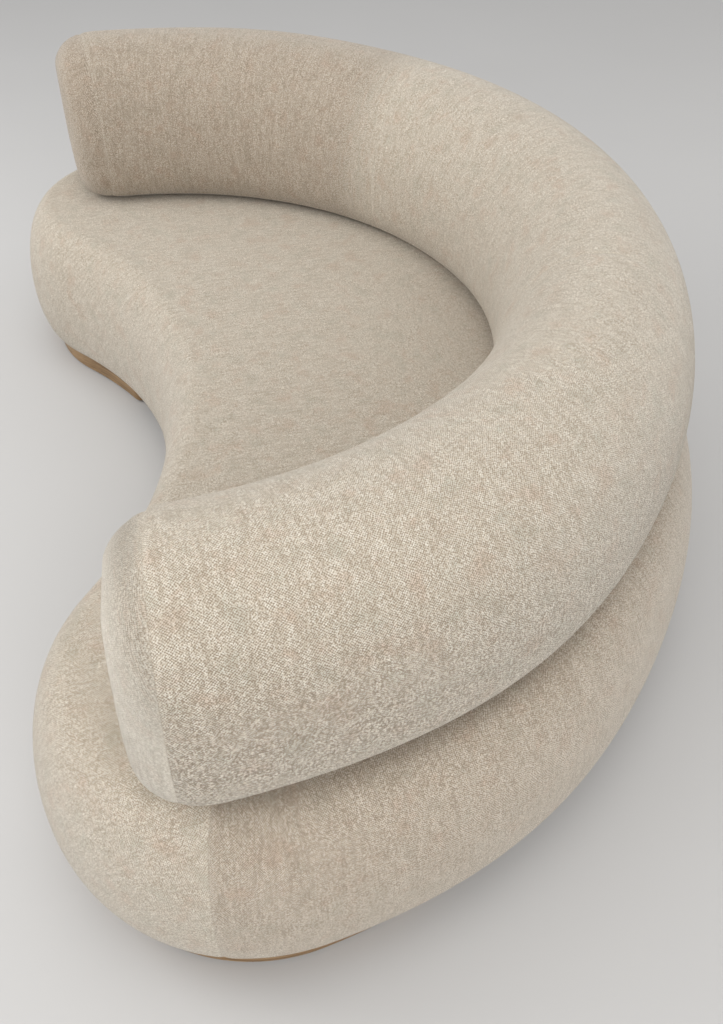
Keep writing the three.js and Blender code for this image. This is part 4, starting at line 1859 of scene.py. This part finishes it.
@dataclass(frozen=True)
class BoucleFinish:
    """Looped cloth: cream loops, fat where the pile stands up, over a fine taupe basket weave, with painted
    shade and painted highlight in its colour.
    """

    yarn: Colour = srgb(224, 217, 204)
    beige: Colour = srgb(208, 197, 180)
    pit: Colour = srgb(150, 136, 118)
    shadow: Colour = srgb(112, 98, 81)
    rosy: Colour = srgb(200, 174, 154)
    cool: Colour = srgb(182, 181, 166)
    # colour of the painted shade on the yarn
    painted_shade: Colour = srgb(171, 150, 131)
    sheen_tint: Colour = srgb(250, 247, 240)
    pitch: float = 1.9 * MM
    thread_wander: float = 5 * MM
    loop_size: float = 2.7 * MM
    loop_crush: float = 0.5
    nub_size: float = 4.4 * MM
    nub_crush: float = 0.7
    slub: Streak = Streak(46 * MM, 7 * MM, 7 * MM)
    curl: Streak = Streak(15 * MM, 2.6 * MM, 12 * MM)
    mottle_size: float = 30 * MM
    hue_size: float = 50 * MM
    seam_line: float = 1.6 * MM
    seam_flank: float = 14 * MM
    relief: float = 1.8 * MM
    specular: float = 0.25
    sheen: float = 0.5
    sheen_roughness: float = 0.4

    def material(self) -> bpy.types.Material:
        """The finished material.

        Returns:
            The material.
        """
        surface = Surface("boucle")
        graph = surface.graph
        position, weave, pile = graph.position(), graph.stored(WEAVE, "Vector"), graph.stored(PILE_AND_SHADE)
        # the third part of the weave holds the painted light
        across, down, painted_light = graph.parts(weave)
        grain = graph.joined(down, across, painted_light)
        slubs, curls = self.slub.over(graph, grain), self.curl.over(graph, grain)
        loops = LoopedYarn.over(graph, position, self.loop_size, self.loop_crush)
        height = self.heights(graph, position, weave, pile, loops["Height"])
        raised = self.raised(graph, height, pile, painted_light)
        streaked = graph.math("MULTIPLY", raised, graph.span(slubs, 0.68, 0.42, 0.7, 1.0))
        streaked = graph.math("MULTIPLY", streaked, graph.span(curls, 0.68, 0.54, 0.5, 1.0))
        thread = self.thread(graph, weave, loops["Tone"], slubs, painted_light)
        colour = self.sewn(graph, graph.mix(streaked, self.between(graph, pile, painted_light), thread))
        surface.colour(colour, graph.span(raised, 0.0, 1.0, 0.97, 0.86), {
            "Specular IOR Level": self.specular, "Sheen Weight": self.sheen,
            "Sheen Roughness": self.sheen_roughness, "Sheen Tint": self.sheen_tint,
        })
        ridged = graph.math("ADD", height, graph.math("MULTIPLY", slubs, -0.9))
        ridged = graph.math("ADD", ridged, graph.math("MULTIPLY", curls, -0.8))
        deep = graph.math("MULTIPLY", graph.math("ADD", pile, 0.6), self.relief)
        surface.relief(ridged, deep, 1.0)
        return surface.material

    def thread(self, graph: Graph, weave: Socket, loop: Socket, slubs: Socket, painted_light: Socket) -> Socket:
        """Colour of the yarn: patches of hue, beige slubs, browner with painted shade and paler with
        painted highlight.

        Args:
            graph: Tree of the material.
            weave: Cloth coordinates.
            loop: Tone of each small loop.
            slubs: Thick streaks in the yarn.
            painted_light: Painted light, -1 for painted shade to 1 for painted highlight.

        Returns:
            The colour.
        """
        hue = Patches.over(graph, weave, self.hue_size, 2.6)
        colour = graph.mix(graph.span(loop, 0.2, 0.9), self.yarn, self.beige)
        for mask, low, high, most, tint in (
            (hue, 0.55, 1.0, 0.55, self.rosy),
            (hue, 0.45, 0.0, 0.5, self.cool),
            (slubs, 0.42, 0.68, 0.5, self.beige),
            # painted shade browns the yarn, painted highlight pales it
            (painted_light, 0.0, -1.0, 0.6, self.painted_shade),
            (painted_light, 0.2, 1.0, 0.6, self.yarn),
        ):
            colour = graph.mix(graph.span(mask, low, high, 0.0, most), colour, tint)
        return colour

    def raised(self, graph: Graph, height: Socket, pile: Socket, painted_light: Socket) -> Socket:
        """How much yarn shows, nearly all of it where highlight is painted.

        Args:
            graph: Tree of the material.
            height: Height of the cloth.
            pile: How loose the loops stand.
            painted_light: Painted light, -1 for painted shade to 1 for painted highlight.

        Returns:
            The share of yarn, 0 to 1.
        """
        low = graph.math("MULTIPLY_ADD", pile, 0.16, 0.08)
        high = graph.math("MULTIPLY_ADD", pile, -0.1, 0.7)
        lit = graph.span(painted_light, 0.3, 1.0, 0.0, 0.6)
        return self.blend(graph, lit, graph.span(height, low, high), 1.0)

    def between(self, graph: Graph, pile: Socket, painted_light: Socket) -> Socket:
        """Colour between the loops, with shade painted darker where the painted light is below 0 and where
        the pile stands.

        Args:
            graph: Tree of the material.
            pile: Where the pile stands, and shade is painted between its loops.
            painted_light: Painted light, -1 for painted shade to 1 for painted highlight.

        Returns:
            The colour.
        """
        dark = graph.math("MULTIPLY", pile, graph.span(painted_light, 0.5, 0.0, 0.0, 0.36))
        shaded = graph.math("MAXIMUM", graph.span(painted_light, 0.0, -1.0, 0.0, 0.9), dark)
        return graph.mix(shaded, self.pit, self.shadow)

    def sewn(self, graph: Graph, colour: Socket) -> Socket:
        """A colour with the seams laid over it.

        Args:
            graph: Tree of the material.
            colour: Colour of the cloth.

        Returns:
            The colour, darker on each needle line and paler beside it.
        """
        sizes = {"Line": self.seam_line, "Flank": self.seam_flank}
        seam = SeamLine.place(graph, {"Distance": graph.stored(SEAM), **sizes})
        colour = graph.tinted(colour, seam["Line"], 0.4, self.pit)
        return graph.tinted(colour, seam["Flank"], 0.08, self.yarn)

    def heights(self, graph: Graph, position: Socket, weave: Socket, pile: Socket, loops: Socket) -> Socket:
        """Height of the cloth: basket weave under loops, with fat nubs where the pile stands.

        Args:
            graph: Tree of the material.
            position: Place on the object.
            weave: Cloth coordinates.
            pile: How loose the loops stand.
            loops: Height of the small loops.

        Returns:
            The height, 0 to 1.
        """
        basket = BasketWeave.over(graph, weave, self.pitch, self.thread_wander)
        nubs = LoopedYarn.over(graph, position, self.nub_size, self.nub_crush)
        mottle = Patches.over(graph, position, self.mottle_size, 1.6)
        height = self.blend(graph, graph.span(mottle, 0.1, 0.8, 0.42, 0.66), basket, loops)
        loose = graph.math("ADD", graph.math("MULTIPLY", pile, 0.42), 0.04)
        share = graph.math("MULTIPLY", graph.span(mottle, 0.0, 0.8, 0.65, 1.0), loose)
        return self.blend(graph, share, height, nubs["Height"])

    @staticmethod
    def blend(graph: Graph, share: object, first: object, second: object) -> Socket:
        """A mix of two values."""
        return graph.add("Mix", {0: share, 2: first, 3: second}, data_type="FLOAT").outputs[0]


@dataclass(frozen=True)
class WoodFinish:
    """Solid or layered wood with streaked grain."""

    name: str
    pale: Colour
    dark: Colour
    grain: Streak = Streak(350 * MM, 4 * MM, 20 * MM)
    pore: Streak = Streak(30 * MM, 0.6 * MM, 2 * MM)
    patch_size: float = 300 * MM
    axis: int = 0
    laid: bool = False
    plies: float = 0.0
    roughness: float = 0.5
    relief: float = 0.3 * MM

    def material(self) -> bpy.types.Material:
        """The finished material.

        Returns:
            The material.
        """
        surface = Surface(self.name)
        graph = surface.graph
        source = graph.stored(WEAVE, "Vector") if self.laid else graph.position()
        if self.axis:
            parts = graph.parts(source)
            source = graph.joined(parts[self.axis], parts[0], parts[3 - self.axis])
        grain, pores = self.grain.over(graph, source), self.pore.over(graph, source)
        tone = graph.weighted(grain, 0.7, Patches.over(graph, source, self.patch_size, 1.2), 0.3)
        colour = graph.mix(graph.span(tone, 0.32, 0.68), self.pale, self.dark)
        pore = graph.span(pores, 0.6, 0.72)
        colour = graph.tinted(colour, pore, 0.45, self.dark)
        if self.plies:
            colour = graph.tinted(colour, self.layers(graph), 0.6, self.dark)
        rough = graph.span(grain, 0.3, 0.7, self.roughness - 0.06, self.roughness + 0.1)
        surface.colour(colour, rough)
        height = graph.math("SUBTRACT", grain, graph.math("MULTIPLY", pore, 0.6))
        surface.relief(height, self.relief, 0.5)
        return surface.material

    def layers(self, graph: Graph) -> Socket:
        """Dark layers of a board where its cut edge shows.

        Args:
            graph: Tree of the material.

        Returns:
            A mask, 1 on a dark layer.
        """
        upright = graph.parts(graph.add("NewGeometry").outputs["Normal"])[2]
        edge = graph.span(graph.math("ABSOLUTE", upright), 0.8, 0.3)
        height = graph.parts(graph.position())[2]
        layer = graph.math("SINE", graph.math("MULTIPLY", height, math.pi / self.plies))
        return graph.math("MULTIPLY", graph.span(layer, -0.3, 0.3), edge)


@dataclass(frozen=True)
class ClothFinish:
    """Plain technical cloth: webbing, lining or felt."""

    name: str
    pale: Colour
    dark: Colour
    pitch: float
    fibre: float
    patch_size: float = 120 * MM
    relief: float = 0.4 * MM
    sheen: float = 0.1

    def material(self) -> bpy.types.Material:
        """The finished material.

        Returns:
            The material.
        """
        surface = Surface(self.name)
        graph = surface.graph
        position = graph.position()
        basket = BasketWeave.over(graph, position, self.pitch, self.pitch / 4)
        fibres = LoopedYarn.over(graph, position, self.fibre, 1.2)
        patches = Patches.over(graph, position, self.patch_size, 1.3)
        height = graph.weighted(basket, 0.5, fibres["Height"], 0.5)
        colour = graph.mix(graph.span(height, 0.2, 0.8), self.dark, self.pale)
        colour = graph.tinted(colour, patches, 0.3, self.dark)
        surface.colour(colour, graph.span(height, 0.0, 1.0, 0.95, 0.8), {"Sheen Weight": self.sheen})
        surface.relief(height, self.relief, 0.8)
        return surface.material


@dataclass(frozen=True)
class FoamFinish:
    """Open-cell foam."""

    pale: Colour = srgb(228, 221, 196)
    cell: Colour = srgb(176, 162, 128)
    pore: float = 2.4 * MM
    patch_size: float = 250 * MM
    relief: float = 0.8 * MM

    def material(self) -> bpy.types.Material:
        """The finished material.

        Returns:
            The material.
        """
        surface = Surface("foam")
        graph = surface.graph
        position = graph.position()
        cells = LoopedYarn.over(graph, position, self.pore, 0.3)["Height"]
        patches = Patches.over(graph, position, self.patch_size, 1.2)
        colour = graph.mix(graph.span(cells, 0.1, 0.7), self.cell, self.pale)
        colour = graph.tinted(colour, patches, 0.25, self.cell)
        surface.colour(colour, graph.span(cells, 0.0, 1.0, 0.98, 0.88))
        surface.relief(cells, self.relief, 0.7)
        return surface.material


@dataclass(frozen=True)
class SteelFinish:
    """Bright zinc-plated steel with a fine spangle and dull patches."""

    bright: Colour = srgb(196, 198, 202)
    dull: Colour = srgb(150, 151, 152)
    spangle: float = 1.5 * MM
    patch_size: float = 8 * MM
    relief: float = 0.05 * MM

    def material(self) -> bpy.types.Material:
        """The finished material.

        Returns:
            The material.
        """
        surface = Surface("steel")
        graph = surface.graph
        position = graph.position()
        spangle = LoopedYarn.over(graph, position, self.spangle, 0.8)
        patches = Patches.over(graph, position, self.patch_size, 1.6)
        tone = graph.weighted(spangle["Tone"], 0.4, patches, 0.6)
        rough = graph.span(tone, 0.0, 1.0, 0.24, 0.46)
        surface.colour(graph.mix(tone, self.bright, self.dull), rough, {"Metallic": 1.0})
        surface.relief(spangle["Height"], self.relief, 0.3)
        return surface.material


@dataclass(frozen=True)
class FloorFinish:
    """Plain pale studio floor with a faint unevenness."""

    pale: Colour = srgb(198, 197, 196)
    shade: Colour = srgb(192, 191, 190)
    patch_size: float = 1.2
    roughness: float = 0.75
    specular: float = 0.2

    def material(self) -> bpy.types.Material:
        """The finished material.

        Returns:
            The material.
        """
        surface = Surface("studio_floor")
        graph = surface.graph
        patches = Patches.over(graph, graph.position(), self.patch_size, 1.0)
        colour = graph.mix(patches, self.pale, self.shade)
        surface.colour(colour, self.roughness, {"Specular IOR Level": self.specular})
        return surface.material


class Palette:
    """Materials of all the finishes, by slot, made once each."""

    def __init__(self) -> None:
        """Makes the materials."""
        beech = dict(pale=srgb(222, 190, 150), dark=srgb(186, 146, 104))
        ply = dict(pale=srgb(226, 200, 160), dark=srgb(176, 136, 92), plies=1.5 * MM)
        self.boucle = BoucleFinish().material()
        self.oak = WoodFinish(
            "oak", srgb(166, 134, 94), srgb(108, 82, 52), laid=True, roughness=0.42
        ).material()
        self.beech_long = WoodFinish("beech_long", **beech).material()
        self.beech_cross = WoodFinish("beech_cross", **beech, axis=1).material()
        self.beech_upright = WoodFinish("beech_upright", **beech, axis=2).material()
        self.plywood = WoodFinish("plywood", **ply).material()
        self.foam = FoamFinish().material()
        self.felt = ClothFinish("felt", srgb(112, 106, 100), srgb(66, 62, 58), 3 * MM, 1.2 * MM).material()
        self.webbing = ClothFinish(
            "webbing", srgb(150, 122, 88), srgb(70, 58, 46), 2.4 * MM, 1.6 * MM
        ).material()
        self.lining = ClothFinish(
            "lining", srgb(58, 56, 54), srgb(30, 29, 28), 1.6 * MM, 2.2 * MM
        ).material()
        self.steel = SteelFinish().material()


class FrameDressing:
    """Materials for the frame's own solids that stay: boards, straps, fixings and foam."""

    def __init__(self, palette: Palette) -> None:
        """Keeps which finish goes on names that start in a given way.

        Args:
            palette: Materials of the finishes.
        """
        boards = (
            "base_panel", "deck_ring", "back_plate", "back_top_rail", "back_skin", "apron", "back_former"
        )
        self.finishes: list[tuple[bpy.types.Material, tuple[str, ...]]] = [
            (palette.foam, ("seat_foam", "back_foam")),
            (palette.plywood, boards),
            (palette.beech_cross, ("cross_rail",)),
            (palette.beech_long, ("long_rail",)),
            (palette.beech_upright, ("back_riser",)),
            (palette.webbing, ("webbing",)),
            (palette.lining, ("dust_cover",)),
            (palette.steel, ("back_bolt", "back_tee_nut", "foot_screw")),
        ]

    def dress(self, nodes: dict[str, bpy.types.Object]) -> int:
        """Puts the finishes on the nodes that are still shown.

        Args:
            nodes: The frame's nodes by name.

        Returns:
            How many nodes were dressed.
        """
        count = 0
        for name, node in nodes.items():
            for finish, starts in self.finishes:
                if name.startswith(starts):
                    node.data.materials.clear()
                    node.data.materials.append(finish)
                    count += 1
        return count


# ------------------------------------------------------------------ studio


@dataclass(frozen=True)
class SoftLight:
    """A large soft lamp."""

    name: str
    place: tuple[float, float, float]
    aim: tuple[float, float, float]
    size: float
    power: float
    colour: tuple[float, float, float] = (1.0, 0.995, 0.985)

    def build(self) -> None:
        """Adds the lamp."""
        lamp = bpy.data.lights.new(self.name, "AREA")
        lamp.shape, lamp.size = "DISK", self.size
        lamp.energy, lamp.color = self.power, self.colour
        holder = bpy.data.objects.new(self.name, lamp)
        holder.location = self.place
        look = Vector(self.aim) - Vector(self.place)
        holder.rotation_euler = look.to_track_quat("-Z", "Y").to_euler()
        bpy.context.scene.collection.objects.link(holder)


@dataclass(frozen=True)
class Studio:
    """Floor, lamps, sky and camera."""

    camera_place: tuple[float, float, float] = (1.833, -0.420, 1.621)
    camera_way: tuple[float, float, float] = (-0.71283, 0.17386, -0.67944)
    lens: float = 35.43
    sensor: float = 36.0
    floor_half: float = 90.0
    sky: float = 0.66
    lamps: tuple[SoftLight, ...] = field(default_factory=lambda: (
        SoftLight("front_softbox", (-1.2, -3.6, 2.6), (0.0, 0.0, 0.3), 2.6, 75.0),
        SoftLight("top_softbox", (0.5, -0.6, 3.8), (0.4, -0.3, 0.0), 3.0, 36.0),
        SoftLight("side_fill", (4.2, -0.35, 1.9), (0.9, 0.0, 0.4), 2.8, 80.0),
        SoftLight("back_fill", (-0.6, 4.6, 2.2), (0.0, 0.3, 0.4), 3.0, 28.0),
    ))

    def build(self) -> None:
        """Builds the studio round the sofa."""
        half = self.floor_half
        square = [(-half, -half, 0), (half, -half, 0), (half, half, 0), (-half, half, 0)]
        mesh = bpy.data.meshes.new("studio_floor")
        mesh.from_pydata(square, [], [(0, 1, 2, 3)])
        floor = new_object("studio_floor", mesh)
        floor.data.materials.append(FloorFinish().material())
        for lamp in self.lamps:
            lamp.build()
        world = bpy.data.worlds.new("studio_sky")
        world.use_nodes = True
        background = world.node_tree.nodes["Background"]
        background.inputs["Color"].default_value = (1.0, 1.0, 1.0, 1.0)
        background.inputs["Strength"].default_value = self.sky
        bpy.context.scene.world = world
        bpy.context.scene.view_settings.view_transform = "Standard"
        self.add_camera()

    def add_camera(self) -> None:
        """Adds the camera."""
        data = bpy.data.cameras.new("camera")
        data.sensor_width, data.lens = self.sensor, self.lens
        camera = bpy.data.objects.new("camera", data)
        camera.location = self.camera_place
        way = Vector(self.camera_way)
        camera.rotation_mode = "QUATERNION"
        camera.rotation_quaternion = way.to_track_quat("-Z", "Y")
        bpy.context.scene.collection.objects.link(camera)
        bpy.context.scene.camera = camera


# ------------------------------------------------------------------ assembly


def dress_piece(
    piece: bpy.types.Object, material: bpy.types.Material, nodes: Sequence[str]
) -> None:
    """Gives a new piece its material and body, and hides the frame's nodes that it stands for.

    Args:
        piece: The new piece.
        material: Its material.
        nodes: Names of the frame's nodes that it stands for.
    """
    piece.data.materials.clear()
    piece.data.materials.append(material)
    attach(piece, ROOT)
    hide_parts(*nodes)
    LOG.info("%s: %d faces, stands for %s", piece.name, len(piece.data.polygons), ", ".join(nodes))


class Sofa:
    """The whole sofa: covers, feet and dressed frame."""

    def __init__(self) -> None:
        """Keeps the forms and the palette."""
        self.palette = Palette()
        self.seat_form = SeatForm()
        self.back_form = BackForm()
        self.feet = [Foot(place, self.seat_form) for place in ("right", "back", "left")]

    def build_covers(self) -> None:
        """Builds the seat body's cover and the roll's."""
        seat = SeatCover(self.seat_form, self.back_form, Swell(voxel=17 * MM)).build()
        dress_piece(seat, self.palette.boucle, ["seat_cover"])
        crown = EndCrown(Side.LEFT, self.back_form.arm_angle)
        roll_swell = Swell(voxel=15 * MM, fuller=(Shoulder(), crown))
        back = BackCover(self.back_form, roll_swell).build()
        dress_piece(back, self.palette.boucle, ["back_cover"])

    def build_feet(self) -> None:
        """Builds the three drum feet and their felt glides."""
        for foot in self.feet:
            dress_piece(foot.build(), self.palette.oak, [foot.node()])
            glide = foot.build_glide()
            dress_piece(glide, self.palette.felt, [f"foot_glide_{foot.place}"])

    def build(self) -> None:
        """Builds every piece in order."""
        self.build_covers()
        self.build_feet()
        count = FrameDressing(self.palette).dress(frame["nodes"])
        LOG.info("dressed %d pieces of the frame", count)


def main() -> None:
    """Builds the studio and the sofa."""
    logging.basicConfig(level=logging.INFO, format="%(name)s: %(message)s")
    Studio().build()
    Sofa().build()


if __name__ == "__main__":
    main()
